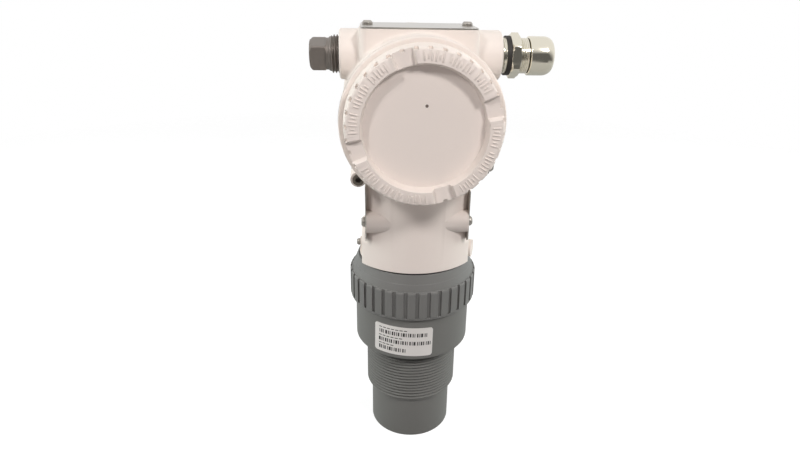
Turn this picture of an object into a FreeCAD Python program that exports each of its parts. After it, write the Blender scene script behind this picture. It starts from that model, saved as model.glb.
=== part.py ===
import FreeCAD, Part
import math
import os
from types import SimpleNamespace

import Sketcher

# An ultrasonic level transmitter: a cast two-compartment housing with two screw covers, a plug and a
# cable gland, held by a ribbed union nut on a plastic sensor with a 2 inch pipe thread.
# Millimetres. +Z runs up the sensor's axis from the centre of the nose's bottom face, and the front
# cover faces -Y. Stations of the barrel are distances from its middle, towards the cover.

SIZES = {
    # Sensor body
    "nose_step": 3.3,
    "nose_chamfer": 0.8,
    "nose_length": 30.8,
    "face_wall": 3.0,
    "nose_wall": 4.0,
    "thread_radius": 29.8,
    "thread_length": 38.2,
    "thread_chamfer": 1.8,
    "thread_depth": 1.2,
    "thread_band": 2.0,
    "thread_turns": 16,
    "body_radius": 36.65,
    "body_length": 29.4,
    "body_chamfer": 1.0,
    "union_thread_step": 0.25,
    "union_thread_length": 19.4,
    "upper_wall": 8.6,
    "bore_step_rise": 7.0,
    # Gasket between sensor and housing
    "gasket_inset": 4.3,
    "gasket_section": 1.45,
    "gasket_proud": 0.5,
    "groove_side_gap": 0.2,
    "seal_gap": 0.1,
    # Transducer inside the nose
    "piezo_radius": 18.0,
    "piezo_thickness": 8.0,
    "matching_thickness": 3.0,
    "potting_gap": 0.2,
    "backing_length": 44.0,
    "probe_radius": 1.5,
    "probe_offset": 14.0,
    "probe_depth": 9.0,
    "probe_length": 13.0,
    "socket_board_thickness": 1.6,
    "socket_radius": 5.0,
    "socket_length": 10.0,
    # Lead to the electronics
    "lead_radius": 2.0,
    "lead_plug_length": 12.0,
    "lead_headroom": 8.0,
    "lead_rise": 27.0,
    "lead_bend_radius": 24.0,
    "lead_offset": 3.5,
    "lead_hole_radius": 2.6,
    # Sticker on the sensor body
    "label_width_angle": 58.5,
    "label_start_angle": -129.0,
    "label_height": 20.0,
    "label_rise": 3.0,
    "label_thickness": 0.25,
    # Union nut
    "nut_height": 28.2,
    "nut_thread_gap": 0.35,
    "nut_chamfer": 0.7,
    "nut_wall": 3.05,
    "nut_rim_height": 1.6,
    "nut_rib_proud": 0.3,
    "nut_groove_depth": 1.2,
    "nut_rib_length": 17.2,
    "nut_rib_slope": 0.9,
    "nut_shoulder_step": 1.5,
    "nut_lip_width": 0.75,
    "nut_groove_width": 2.3,
    "nut_rib_count": 36,
    # Neck of the housing
    "fit_gap": 0.3,
    "foot_thickness": 3.2,
    "foot_gap": 0.45,
    "foot_step": 2.95,
    "collar_height": 26.2,
    "collar_round": 3.0,
    "collar_gap": 1.0,
    "collar_side_step": 2.9,
    "collar_corner": 2.0,
    "front_step": 0.7,
    "front_shift": 6.7,
    "flat_depth": 4.3,
    "neck_wall": 5.5,
    "neck_roof": 8.5,
    "boss_radius": 6.5,
    "boss_offset": 25.0,
    "boss_rise": 12.9,
    "rear_boss_lift": 14.5,
    "low_boss_radius": 5.4,
    "low_boss_angle": 19.0,
    "low_boss_rise": 6.9,
    "low_boss_proud": 3.9,
    "lock_boss_radius": 3.4,
    "lock_boss_proud": 1.0,
    "lock_head_radius": 2.1,
    "lock_head_height": 2.2,
    # Barrel of the housing
    "barrel_rise": 74.9,
    "barrel_wall": 4.6,
    "barrel_half_length": 44.0,
    "ring_proud": 1.2,
    "ring_length": 3.0,
    "ring_slope": 2.0,
    "mouth_step": 2.4,
    "mouth_radius": 37.4,
    "mouth_depth": 11.0,
    "wall_station": 16.0,
    "wall_thickness": 4.0,
    "lug_radius": 4.2,
    "lug_proud": 2.1,
    "lug_angle": 42.5,
    "lug_setback": 1.6,
    "lug_length": 20.0,
    "lock_screw_radius": 3.0,
    "lock_screw_length": 20.0,
    "earth_boss_radius": 6.0,
    "earth_boss_proud": 12.4,
    "earth_boss_offset": 10.0,
    "earth_boss_rise": 9.0,
    # Top block and hubs of the housing
    "block_half_width": 32.0,
    "block_half_depth": 20.0,
    "block_cover": 1.2,
    "block_round": 4.0,
    "hub_rise": 29.0,
    "hub_wall": 3.2,
    "left_hub_proud": 1.2,
    "right_hub_proud": 4.6,
    "hub_chamfer": 0.8,
    "hub_round": 1.8,
    "throat_round": 3.4,
    "conduit_radius": 10.4,
    "entry_gap": 0.1,
    # Covers
    "skirt_floor_gap": 4.0,
    "skirt_gap": 0.35,
    "skirt_wall": 3.85,
    "flange_inset": 0.2,
    "flange_thickness": 3.2,
    "flange_chamfer": 0.5,
    "rim_step": 2.4,
    "rim_draft": 1.1,
    "rim_chamfer": 0.9,
    "rim_height": 12.5,
    "rim_width": 7.3,
    "recess_slope": 1.4,
    "recess_depth": 5.4,
    "recess_floor": 4.0,
    "gap_depth": 2.8,
    "gap_half_width": 5.1,
    "gap_slope": 25.0,
    "gap_count": 4,
    "notch_width": 2.2,
    "notch_depth": 0.9,
    "notch_length": 4.6,
    "notch_count": 36,
    "front_cover_turn": 17.5,
    "rear_cover_turn": 52.0,
    "cover_seal_inset": 2.9,
    "cover_seal_section": 0.95,
    "cover_seal_depth": 1.75,
    # Plates and their screws
    "top_plate_side_inset": 0.5,
    "top_plate_end_inset": 2.0,
    "top_plate_thickness": 0.9,
    "top_plate_round": 3.0,
    "top_screw_inset": 3.8,
    "top_shank_length": 4.0,
    "side_plate_thickness": 0.6,
    "side_plate_edge": 4.0,
    "side_plate_low_gap": 0.8,
    "side_plate_high_gap": 1.0,
    "side_plate_round": 4.0,
    "screw_hole_gap": 0.05,
    "screw_head_radius": 2.9,
    "screw_head_height": 2.2,
    "screw_shank_radius": 1.5,
    "screw_shank_length": 6.0,
    "screw_slot_width": 0.8,
    "screw_slot_depth": 0.8,
    "big_head_radius": 3.6,
    "big_head_height": 2.8,
    "big_shank_radius": 2.0,
    "big_shank_length": 8.0,
    "washer_radius": 5.0,
    "washer_thickness": 1.0,
    # Plug in the left hub
    "plug_inside": 12.0,
    "plug_outside": 5.8,
    "plug_chamfer": 0.9,
    "plug_neck_radius": 8.6,
    "plug_neck_length": 1.6,
    "plug_square": 14.0,
    "plug_head_length": 9.0,
    "plug_head_chamfer": 1.6,
    "plug_turn": 17.0,
    # Gland in the right hub
    "gland_inside": 10.0,
    "gland_outside": 2.9,
    "gland_seal_radius": 10.9,
    "gland_seal_thickness": 2.6,
    "gland_flats": 22.4,
    "gland_hex_length": 5.2,
    "gland_hex_chamfer": 1.0,
    "gland_neck_radius": 9.8,
    "gland_spigot_step": 0.6,
    "gland_barrel_length": 14.0,
    "gland_neck_length": 5.4,
    "gland_bore_radius": 6.6,
    "gland_wall": 0.95,
    "claw_depth": 9.0,
    "claw_gap": 0.05,
    "claw_wall": 2.0,
    "cable_radius": 4.5,
    "slip_thickness": 0.8,
    "slip_gap": 0.55,
    "slip_bore_radius": 5.6,
    "dome_wall": 1.35,
    "dome_flat_depth": 0.3,
    "dome_length": 14.2,
    "dome_skirt_gap": 0.3,
    "dome_round_length": 5.0,
    "dome_end_inset": 2.5,
    "dome_hole_radius": 6.4,
    # Electronics in the front compartment
    "spacer_radius": 3.0,
    "spacer_inset": 6.0,
    "spacer_hole_radius": 1.6,
    "lower_spacer_length": 7.0,
    "upper_spacer_length": 8.6,
    "board_gap": 4.0,
    "board_thickness": 1.6,
    "board_screw_radius": 1.5,
    "board_head_radius": 2.8,
    "board_head_height": 1.8,
    "header_half_width": 5.0,
    "header_rise": 20.5,
    "header_height": 7.0,
    "transformer_half_width": 8.0,
    "transformer_height": 13.0,
    "transformer_depth": 7.0,
    "capacitor_radius": 4.0,
    "capacitor_length": 9.0,
    "capacitor_offset": 10.0,
    # Terminals in the rear compartment
    "feed_radius": 4.0,
    "feed_side": 12.0,
    "feed_rise": 2.0,
    "feed_gap": 0.1,
    "terminal_half_width": 23.0,
    "terminal_bottom": 15.0,
    "terminal_rise": 11.0,
    "terminal_depth": 11.0,
    "terminal_pitch": 14.0,
    "barrier_height": 16.0,
    "barrier_thickness": 2.0,
    "barrier_depth": 7.0,
    "clamp_half_width": 4.2,
    "clamp_thickness": 1.2,
    "block_screw_side": 18.0,
    "block_screw_rise": 6.4,
    "inner_earth_inset": 4.4,
    "inner_shank_length": 3.0,
}

# One corner of a hexagon lies this much further out than the middle of a flat.
HEX_CORNER = 1.0 / math.cos(math.pi / 6.0)

AXIS_X = FreeCAD.Vector(1, 0, 0)
AXIS_Y = FreeCAD.Vector(0, 1, 0)
AXIS_Z = FreeCAD.Vector(0, 0, 1)
UPRIGHT = FreeCAD.Rotation()
TO_RIGHT = FreeCAD.Rotation(AXIS_Y, 90)
TO_LEFT = FreeCAD.Rotation(AXIS_Y, -90)
TO_FRONT = FreeCAD.Rotation(AXIS_X, 90)
TO_REAR = FreeCAD.Rotation(AXIS_X, -90)

doc = FreeCAD.newDocument("level_transmitter")
sheet = doc.addObject("Spreadsheet::Sheet", "sizes")
for row, (alias, number) in enumerate(SIZES.items(), start=1):
    sheet.set(f"A{row}", alias)
    sheet.set(f"B{row}", str(number))
    sheet.setAlias(f"B{row}", alias)
doc.recompute()


class Size:
    """A size of the object: its expression on the sheet and the number that it has there."""

    def __init__(self, text, number):
        self.text = text
        self.number = number

    def __add__(self, other):
        return Size(f"({self.text} + {text_of(other)})", self.number + number_of(other))

    def __radd__(self, other):
        return Size(f"({text_of(other)} + {self.text})", number_of(other) + self.number)

    def __sub__(self, other):
        return Size(f"({self.text} - {text_of(other)})", self.number - number_of(other))

    def __rsub__(self, other):
        return Size(f"({text_of(other)} - {self.text})", number_of(other) - self.number)

    def __mul__(self, other):
        return Size(f"({self.text} * {text_of(other)})", self.number * number_of(other))

    def __truediv__(self, other):
        return Size(f"({self.text} / {text_of(other)})", self.number / number_of(other))

    def __neg__(self):
        return Size(f"(0 - {self.text})", -self.number)

    def cosine(self):
        return Size(f"cos({self.text} * 1 deg)", math.cos(math.radians(self.number)))

    def sine(self):
        return Size(f"sin({self.text} * 1 deg)", math.sin(math.radians(self.number)))


def text_of(value):
    return value.text if isinstance(value, Size) else repr(value)


def number_of(value):
    return value.number if isinstance(value, Size) else value


size = SimpleNamespace(**{alias: Size(f"sizes.{alias}", float(sheet.get(alias))) for alias in SIZES})
nodes = {}


def bind(item, name, value):
    """Bind one property to the sheet, or set it where the value is a plain number."""
    if isinstance(value, Size):
        item.setExpression(name, value.text)
    else:
        setattr(item, name, value)


def place(item, x=0, y=0, z=0, turn=UPRIGHT):
    """Put an object at a point that the sheet drives, turned as given."""
    point = FreeCAD.Vector(number_of(x), number_of(y), number_of(z))
    item.Placement = FreeCAD.Placement(point, turn)
    for axis, value in zip("xyz", (x, y, z)):
        if isinstance(value, Size):
            item.setExpression(f"Placement.Base.{axis}", value.text)
    return item


def node(label, item):
    """Name a finished piece."""
    item.Label = label
    nodes[label] = item
    return item


def upright(name, radius, bottom, top, x=0, y=0):
    """A cylinder along Z."""
    item = doc.addObject("Part::Cylinder", name)
    bind(item, "Radius", radius)
    bind(item, "Height", top - bottom)
    return place(item, x, y, bottom)


def sideways(name, radius, left, right, y, z):
    """A cylinder along X."""
    item = doc.addObject("Part::Cylinder", name)
    bind(item, "Radius", radius)
    bind(item, "Height", right - left)
    return place(item, left, y, z, TO_RIGHT)


def forwards(name, radius, near, far, x, z):
    """A cylinder along the barrel, between two stations towards the front."""
    item = doc.addObject("Part::Cylinder", name)
    bind(item, "Radius", radius)
    bind(item, "Height", far - near)
    return place(item, x, -near, z, TO_FRONT)


def box(name, x_range, y_range, z_range):
    """A box between two values on each axis."""
    item = doc.addObject("Part::Box", name)
    for side, (low, high) in zip(("Length", "Width", "Height"), (x_range, y_range, z_range)):
        bind(item, side, high - low)
    return place(item, x_range[0], y_range[0], z_range[0])


def fuse(name, *items):
    item = doc.addObject("Part::MultiFuse", name)
    item.Shapes = list(items)
    item.Refine = True
    return item


def common(name, first, second):
    item = doc.addObject("Part::MultiCommon", name)
    item.Shapes = [first, second]
    return item


def cut(name, base, *tools):
    """One solid less others, which may overlap each other."""
    item = doc.addObject("Part::Cut", name)
    item.Base = base
    item.Tool = tools[0] if len(tools) == 1 else fuse(f"{name}_tools", *tools)
    return item


def group(name, *items):
    """Several separate solids that share one node."""
    item = doc.addObject("Part::Compound", name)
    item.Links = list(items)
    return item


def origin_plane(body, role):
    return [part for part in body.Origin.OriginFeatures if part.Role == role][0]


def outline_sketch(body, name, role, points):
    """A closed outline of straight edges whose corners the sheet drives."""
    sketch = body.newObject("Sketcher::SketchObject", name)
    sketch.AttachmentSupport = [(origin_plane(body, role), "")]
    sketch.MapMode = "FlatFace"
    corners = [FreeCAD.Vector(number_of(across), number_of(up), 0) for across, up in points]
    count = len(corners)
    for index in range(count):
        sketch.addGeometry(Part.LineSegment(corners[index], corners[(index + 1) % count]), False)
    for index in range(count):
        sketch.addConstraint(Sketcher.Constraint("Coincident", index, 2, (index + 1) % count, 1))
    for index, pair in enumerate(points):
        for kind, axis, value in zip(("DistanceX", "DistanceY"), (-2, -1), pair):
            if not isinstance(value, Size):
                sketch.addConstraint(Sketcher.Constraint("PointOnObject", index, 1, axis))
                continue
            spot = sketch.addConstraint(Sketcher.Constraint(kind, -1, 1, index, 1, value.number))
            sketch.setExpression(f"Constraints[{spot}]", value.text)
    return sketch


def turned(name, points, x=0, y=0, z=0, turn=UPRIGHT):
    """A body turned about its own Z from an outline of radii and heights."""
    body = doc.addObject("PartDesign::Body", name)
    sketch = outline_sketch(body, f"{name}_outline", "XZ_Plane", points)
    feature = body.newObject("PartDesign::Revolution", f"{name}_turned")
    feature.Profile = sketch
    feature.ReferenceAxis = (sketch, ["V_Axis"])
    feature.Angle = 360
    place(body, x, y, z, turn)
    doc.recompute()
    return body


def pocket_round(body, name, points, top, depth, count, slope=0):
    """A pocket sunk from a height of a turned body and repeated round its axis."""
    before = body.Shape.Volume
    sketch = outline_sketch(body, f"{name}_outline", "XY_Plane", points)
    sketch.setExpression("AttachmentOffset.Base.z", top.text)
    pocket = body.newObject("PartDesign::Pocket", f"{name}_pocket")
    pocket.Profile = sketch
    bind(pocket, "Length", depth)
    bind(pocket, "TaperAngle", slope)
    doc.recompute()
    pattern = body.newObject("PartDesign::PolarPattern", f"{name}_pattern")
    pattern.Originals = [pocket]
    pattern.Axis = (sketch, ["N_Axis"])
    pattern.Angle = 360
    bind(pattern, "Occurrences", count)
    body.Tip = pattern
    doc.recompute()
    if body.Shape.Volume >= before:
        raise ValueError(f"{name} cuts nothing")


def rounded(name, base, radius_at):
    """Round the edges of a solid, each by the radius that a rule gives for the edge and its faces."""
    doc.recompute()
    chosen = []
    for index, edge in enumerate(base.Shape.Edges, start=1):
        radius = radius_at(edge, base.Shape.ancestorsOfType(edge, Part.Face))
        if radius:
            chosen.append((index, radius.number, radius.number))
    item = doc.addObject("Part::Fillet", name)
    item.Base = base
    item.Edges = chosen
    return item


def along(axis, radius):
    """A rule that rounds the straight edges along an axis."""
    def rule(edge, faces):
        straight = isinstance(edge.Curve, Part.Line)
        return radius if straight and abs(edge.Curve.Direction.dot(axis)) > 0.999 else None
    return rule


def is_round(face, radius, axis):
    """Whether a face is a cylinder of this radius about this direction."""
    surface = face.Surface
    if not isinstance(surface, Part.Cylinder):
        return False
    return abs(surface.Radius - radius.number) < 0.001 and abs(surface.Axis.dot(axis)) > 0.999


def screw(name, head, height, shank, length, x, y, z, turn):
    """A slotted pan-head screw, seated with its head on the given point."""
    blank = turned(f"{name}_blank", [
        (0, 0),
        (shank, 0),
        (shank, length),
        (head, length),
        (head, length + height * 0.55),
        (head * 0.72, length + height),
        (0, length + height),
    ])
    slot = box(f"{name}_slot", (-head, head), (-size.screw_slot_width / 2, size.screw_slot_width / 2),
               (length + height - size.screw_slot_depth, length + height + 1.0))
    item = cut(name, blank, slot)
    reach = turn.multVec(AXIS_Z)
    seat = [value - length * round(shift) for value, shift in zip((x, y, z), reach)]
    return place(item, seat[0], seat[1], seat[2], turn)


# Radii and levels of the sensor and the nut
nose_radius = size.thread_radius - size.nose_step
nose_bore = nose_radius - size.nose_wall
union_radius = size.body_radius - size.union_thread_step
upper_bore = union_radius - size.upper_wall
gasket_radius = union_radius - size.gasket_inset
body_bottom = size.nose_length + size.thread_length
body_top = body_bottom + size.body_length
sensor_top = body_top + size.union_thread_length
bore_step = body_bottom + size.bore_step_rise
groove_inner = gasket_radius - size.gasket_section - size.groove_side_gap
groove_outer = gasket_radius + size.gasket_section + size.groove_side_gap
groove_floor = sensor_top - size.gasket_section * 2 + size.gasket_proud
foot_bottom = sensor_top + size.gasket_proud + size.seal_gap
foot_top = foot_bottom + size.foot_thickness
collar_top = foot_bottom + size.collar_height
nut_bottom = body_top + size.fit_gap
nut_top = nut_bottom + size.nut_height
nut_bore = union_radius + size.nut_thread_gap
nut_rim = nut_bore + size.nut_wall
nut_crest = nut_rim + size.nut_rib_proud

# Radii and levels of the housing, whose barrel and hubs follow the neck
neck_radius = nut_bore - size.foot_step
flat_side = neck_radius - size.flat_depth
neck_cavity = flat_side - size.neck_wall
collar_side = flat_side + size.collar_side_step
collar_bottom = nut_top + size.collar_gap
front_radius = neck_radius + size.front_step + size.front_shift
cavity_radius = size.mouth_radius - size.mouth_step
barrel_radius = size.mouth_radius + size.barrel_wall
ring_radius = barrel_radius + size.ring_proud
entry_radius = size.conduit_radius + size.entry_gap
hub_radius = entry_radius + size.hub_wall
left_face = barrel_radius + size.left_hub_proud
right_face = barrel_radius + size.right_hub_proud
axis_height = collar_top + size.barrel_rise
neck_ceiling = axis_height - cavity_radius - size.neck_roof
boss_height = collar_top + size.boss_rise
rear_boss_height = boss_height + size.rear_boss_lift
low_boss_height = nut_top + size.low_boss_rise
earth_boss_height = axis_height - barrel_radius + size.earth_boss_rise
hub_height = axis_height + size.hub_rise
block_top = hub_height + hub_radius + size.block_cover

# Turns of the pipe thread, each a plain ring with sloped sides
thread_root = size.thread_radius - size.thread_depth
thread_start = size.nose_length + size.thread_chamfer / 3
thread_end = body_bottom - size.thread_band
thread_pitch = (thread_end - thread_start) / size.thread_turns
thread_rings = []
for turn in range(round(size.thread_turns.number)):
    ring_start = thread_start + thread_pitch * turn
    thread_rings += [
        (thread_root, ring_start),
        (size.thread_radius, ring_start + thread_pitch * 0.4),
        (size.thread_radius, ring_start + thread_pitch * 0.6),
    ]

# Sensor body: nose, pipe thread, body and union thread, hollow from above
node("transducer_body", turned("transducer_body", [
    (0, 0),
    (nose_radius - size.nose_chamfer, 0),
    (nose_radius, size.nose_chamfer),
    (nose_radius, size.nose_length),
    (size.thread_radius - size.thread_chamfer, size.nose_length),
    *thread_rings,
    (thread_root, thread_end),
    (size.thread_radius, thread_end),
    (size.thread_radius, body_bottom),
    (size.body_radius - size.body_chamfer, body_bottom),
    (size.body_radius, body_bottom + size.body_chamfer),
    (size.body_radius, body_top),
    (union_radius, body_top),
    (union_radius, sensor_top),
    (groove_outer, sensor_top),
    (groove_outer, groove_floor),
    (groove_inner, groove_floor),
    (groove_inner, sensor_top),
    (upper_bore, sensor_top),
    (upper_bore, bore_step),
    (nose_bore, bore_step),
    (nose_bore, size.face_wall),
    (0, size.face_wall),
]))

gasket = doc.addObject("Part::Torus", "gasket")
bind(gasket, "Radius1", gasket_radius)
bind(gasket, "Radius2", size.gasket_section)
node("union_gasket", place(gasket, 0, 0, groove_floor + size.gasket_section))

# Sticker: a thin sheet round the front of the body
label_bottom = body_bottom + size.label_rise
label_top = label_bottom + size.label_height
label_sheet = upright("label_sheet", size.body_radius + size.label_thickness, label_bottom, label_top)
bind(label_sheet, "Angle", size.label_width_angle)
label_core = upright("label_core", size.body_radius, label_bottom - 1.0, label_top + 1.0)
label = node("sensor_label", cut("label", label_sheet, label_core))
label.Placement = FreeCAD.Placement(
    FreeCAD.Vector(), FreeCAD.Rotation(AXIS_Z, size.label_start_angle.number))

# Transducer stack in the nose
piezo_bottom = size.face_wall + size.matching_thickness
piezo_top = piezo_bottom + size.piezo_thickness
backing_top = piezo_top + size.backing_length
potting_radius = nose_bore - size.potting_gap
node("matching_layer", upright("matching", size.piezo_radius, size.face_wall, piezo_bottom))
node("piezo_disc", upright("piezo", size.piezo_radius, piezo_bottom, piezo_top))
node("isolation_ring", cut(
    "isolation",
    upright("isolation_outer", potting_radius, size.face_wall, piezo_top),
    upright("isolation_inner", size.piezo_radius + size.potting_gap, size.face_wall - 1.0, piezo_top + 1.0)))
probe_hole = upright("probe_hole", size.probe_radius + size.screw_hole_gap,
                     backing_top - size.probe_depth, backing_top + 1.0, size.probe_offset)
node("backing_block", cut("backing", upright("backing_blank", potting_radius, piezo_top, backing_top), probe_hole))
node("temperature_probe", upright("probe", size.probe_radius, backing_top - size.probe_depth,
                                  backing_top - size.probe_depth + size.probe_length, size.probe_offset))

# Connector board on the step of the bore, its socket and the plug of the lead above it
socket_bottom = bore_step + size.socket_board_thickness
socket_top = socket_bottom + size.socket_length
lead_plug_bottom = socket_top + size.fit_gap
lead_bottom = lead_plug_bottom + size.lead_plug_length
node("socket_board", upright("socket_disc", upper_bore - size.potting_gap, bore_step, socket_bottom))
node("sensor_socket", upright("socket", size.socket_radius, socket_bottom, socket_top))
node("lead_plug", upright("plug_of_lead", size.socket_radius, lead_plug_bottom, lead_bottom))

# Union nut: bore, lip over the foot, ribbed band and sloped shoulder
rib_bottom = nut_bottom + size.nut_rim_height
rib_top = rib_bottom + size.nut_rib_length
lip_inner = neck_radius + size.nut_thread_gap
nut = turned("union_nut", [
    (nut_bore, nut_bottom),
    (nut_rim - size.nut_chamfer, nut_bottom),
    (nut_rim, nut_bottom + size.nut_chamfer),
    (nut_rim, rib_bottom),
    (nut_crest, rib_bottom + size.nut_rib_slope / 3),
    (nut_crest, rib_top - size.nut_rib_slope),
    (nut_crest - size.nut_rib_slope / 2, rib_top),
    (nut_crest - size.nut_shoulder_step, rib_top),
    (lip_inner + size.nut_lip_width, nut_top),
    (lip_inner, nut_top),
    (lip_inner, foot_top + size.fit_gap),
    (nut_bore, foot_top + size.fit_gap),
])
half_groove = size.nut_groove_width / 2
nut_root = nut_crest - size.nut_groove_depth
groove_outside = nut_crest + 1.0
pocket_round(nut, "rib_groove", [
    (nut_root, -half_groove),
    (groove_outside, -half_groove),
    (groove_outside, half_groove),
    (nut_root, half_groove),
], rib_top + 0.01, size.nut_rib_length, size.nut_rib_count)
node("union_nut", nut)

# Housing: foot and collar, throat with two flats, bosses, barrel, lugs, block and hubs
foot = upright("foot", nut_bore - size.foot_gap, foot_bottom, foot_top)
stem = upright("stem", neck_radius, foot_bottom, collar_bottom + 1.0)


def bowed_block(name, side, bottom, top):
    """An upright block with flat sides, a bowed front and a bowed back."""
    bows = common(f"{name}_bows",
                  upright(f"{name}_front_bow", front_radius, bottom, top, 0, size.front_shift),
                  upright(f"{name}_rear_bow", front_radius, bottom, top, 0, -size.front_shift))
    sides = box(f"{name}_sides", (-side, side), (-front_radius, front_radius), (bottom, top))
    return common(name, bows, sides)


collar = rounded("collar", rounded("collar_block", bowed_block("collar_blank", collar_side, collar_bottom, collar_top),
                                   along(AXIS_Z, size.collar_corner)),
                 lambda edge, faces: size.collar_round if edge.BoundBox.ZMin > collar_top.number - 0.01 else None)
throat = bowed_block("throat", flat_side, collar_bottom, axis_height)
front_bosses = sideways("front_bosses", size.boss_radius, -flat_side, flat_side,
                        -size.boss_offset, boss_height)
rear_bosses = sideways("rear_bosses", size.boss_radius, -flat_side, flat_side,
                       size.boss_offset, rear_boss_height)
lock_seat = collar_side + size.lock_boss_proud
earth_seat = flat_side + size.earth_boss_proud
low_boss = upright("low_boss", size.low_boss_radius, flat_side, neck_radius + size.low_boss_proud)
place(low_boss, flat_side * size.low_boss_angle.cosine(), -flat_side * size.low_boss_angle.sine(), low_boss_height,
      FreeCAD.Rotation(AXIS_Z, -size.low_boss_angle.number).multiply(TO_RIGHT))
lock_boss = sideways("lock_boss", size.lock_boss_radius, -lock_seat, -flat_side, 0, low_boss_height)
earth_boss = sideways("earth_boss", size.earth_boss_radius, flat_side / 2, earth_seat,
                      -size.earth_boss_offset, earth_boss_height)
barrel_length = size.barrel_half_length * 2
barrel = turned("barrel", [
    (0, 0),
    (ring_radius, 0),
    (ring_radius, size.ring_length),
    (barrel_radius, size.ring_length + size.ring_slope),
    (barrel_radius, barrel_length - size.ring_length - size.ring_slope),
    (ring_radius, barrel_length - size.ring_length),
    (ring_radius, barrel_length),
    (0, barrel_length),
], 0, size.barrel_half_length, axis_height, TO_FRONT)
lug_circle = ring_radius + size.lug_proud
lug_side = lug_circle * size.lug_angle.cosine()
lug_height = axis_height - lug_circle * size.lug_angle.sine()
lug_front = size.barrel_half_length - size.lug_setback
lug_back = lug_front - size.lug_length
front_lug = forwards("front_lug", size.lug_radius, lug_back, lug_front, -lug_side, lug_height)
rear_lug = forwards("rear_lug", size.lug_radius, -lug_front, -lug_back, lug_side, lug_height)
block = rounded(
    "block", box("block_blank", (-size.block_half_width, size.block_half_width),
                 (-size.block_half_depth, size.block_half_depth), (axis_height, block_top)),
    along(AXIS_Z, size.block_round))
hub_length = left_face + right_face
hubs = turned("hubs", [
    (0, 0),
    (hub_radius - size.hub_chamfer, 0),
    (hub_radius, size.hub_chamfer),
    (hub_radius, hub_length - size.hub_chamfer),
    (hub_radius - size.hub_chamfer, hub_length),
    (0, hub_length),
], -left_face, 0, hub_height, TO_RIGHT)


def cast_corner(edge, faces):
    """The radius in an inner corner of the casting, between barrel, throat, block and hubs."""
    if len(faces) != 2 or any(isinstance(face.Surface, Part.Cone) for face in faces):
        return None
    barrel_faces = [face for face in faces if is_round(face, barrel_radius, AXIS_Y)]
    hub_faces = [face for face in faces if is_round(face, hub_radius, AXIS_X)]
    if len(barrel_faces) == 1 and edge.CenterOfMass.z < axis_height.number:
        return size.throat_round
    return size.hub_round if len(barrel_faces) == 1 or len(hub_faces) == 1 else None


shell = rounded("shell", fuse("shell_blank", barrel, throat, block, hubs), cast_corner)
casting = fuse("casting", shell, collar, stem, foot, front_bosses, rear_bosses, low_boss, lock_boss, earth_boss,
               front_lug, rear_lug)

# Hollows of the housing: two compartments with threaded mouths, entries, neck and screw holes
wall_rear = size.wall_station - size.wall_thickness
mouth_station = size.barrel_half_length - size.mouth_depth
face_station = size.barrel_half_length
seal_radius = size.mouth_radius + size.cover_seal_inset
seal_outer = seal_radius + size.cover_seal_section + size.groove_side_gap
seal_inner = seal_radius - size.cover_seal_section - size.groove_side_gap
seal_floor = face_station - size.cover_seal_depth


def seal_groove(name, near, far):
    """The ring of space for a cover's seal."""
    outer = forwards(f"{name}_outer", seal_outer, near, far, 0, axis_height)
    inner = forwards(f"{name}_inner", seal_inner, near - 1.0, far + 1.0, 0, axis_height)
    return cut(name, outer, inner)


shank_hole = size.screw_shank_radius + size.screw_hole_gap
big_hole = size.big_shank_radius + size.screw_hole_gap
side_hole_depth = flat_side - size.screw_shank_length - 1.0
feed_height = axis_height + size.feed_rise
inner_earth_side = (cavity_radius - size.inner_earth_inset) * math.cos(math.pi / 4.0)
earth_height = axis_height - inner_earth_side
mount_height = axis_height + size.block_screw_rise
mount_length = size.terminal_depth + size.inner_shank_length
mount_points = [("left", -size.block_screw_side), ("right", size.block_screw_side)]
lead_station = size.wall_station + size.lead_offset
lead_hole = upright("lead_hole", size.lead_hole_radius, neck_ceiling - 1.0,
                    axis_height - cavity_radius + 1.0, 0, -lead_station)
hollows = [
    forwards("front_cavity", cavity_radius, size.wall_station, face_station, 0, axis_height),
    forwards("front_mouth", size.mouth_radius, mouth_station, face_station + 1.0, 0, axis_height),
    forwards("rear_cavity", cavity_radius, -face_station, wall_rear, 0, axis_height),
    forwards("rear_mouth", size.mouth_radius, -face_station - 1.0, -mouth_station, 0, axis_height),
    seal_groove("front_groove", seal_floor, face_station + 1.0),
    seal_groove("rear_groove", -face_station - 1.0, -seal_floor),
    sideways("entries", entry_radius, -left_face - 1.0, right_face + 1.0, 0, hub_height),
    upright("neck_cavity", neck_cavity, foot_bottom - 1.0, neck_ceiling),
    lead_hole,
    forwards("feed_hole", size.feed_radius + size.feed_gap, wall_rear - 1.0, size.wall_station + 1.0,
             size.feed_side, feed_height),
    forwards("front_lock_hole", size.lock_screw_radius + size.screw_hole_gap, lug_back - 1.0, lug_front + 3.0,
             -lug_side, lug_height),
    forwards("rear_lock_hole", size.lock_screw_radius + size.screw_hole_gap, -lug_front - 3.0,
             -lug_back + 1.0, lug_side, lug_height),
    forwards("inner_earth_hole", big_hole, wall_rear, wall_rear + size.inner_shank_length + size.fit_gap,
             inner_earth_side, earth_height),
    sideways("lock_hole", shank_hole, -lock_seat - 1.0,
             -lock_seat + size.screw_shank_length + size.fit_gap, 0, low_boss_height),
    sideways("earth_hole", big_hole, earth_seat - size.big_shank_length - size.fit_gap,
             earth_seat + 1.0, -size.earth_boss_offset, earth_boss_height),
]
side_screw_points = [("front", -size.boss_offset, boss_height), ("rear", size.boss_offset, rear_boss_height)]
for side, low, high in (
        ("left", -flat_side - 1.0, -side_hole_depth),
        ("right", side_hole_depth, flat_side + 1.0)):
    for end, shift, level in side_screw_points:
        hollows.append(sideways(f"{side}_{end}_hole", shank_hole, low, high, shift, level))
top_plate_side = size.block_half_width - size.top_plate_side_inset
top_plate_end = size.block_half_depth - size.top_plate_end_inset
top_screw_side = top_plate_side - size.top_screw_inset
plate_top = block_top + size.top_plate_thickness
top_hole_floor = plate_top - size.top_shank_length - size.fit_gap
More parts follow.
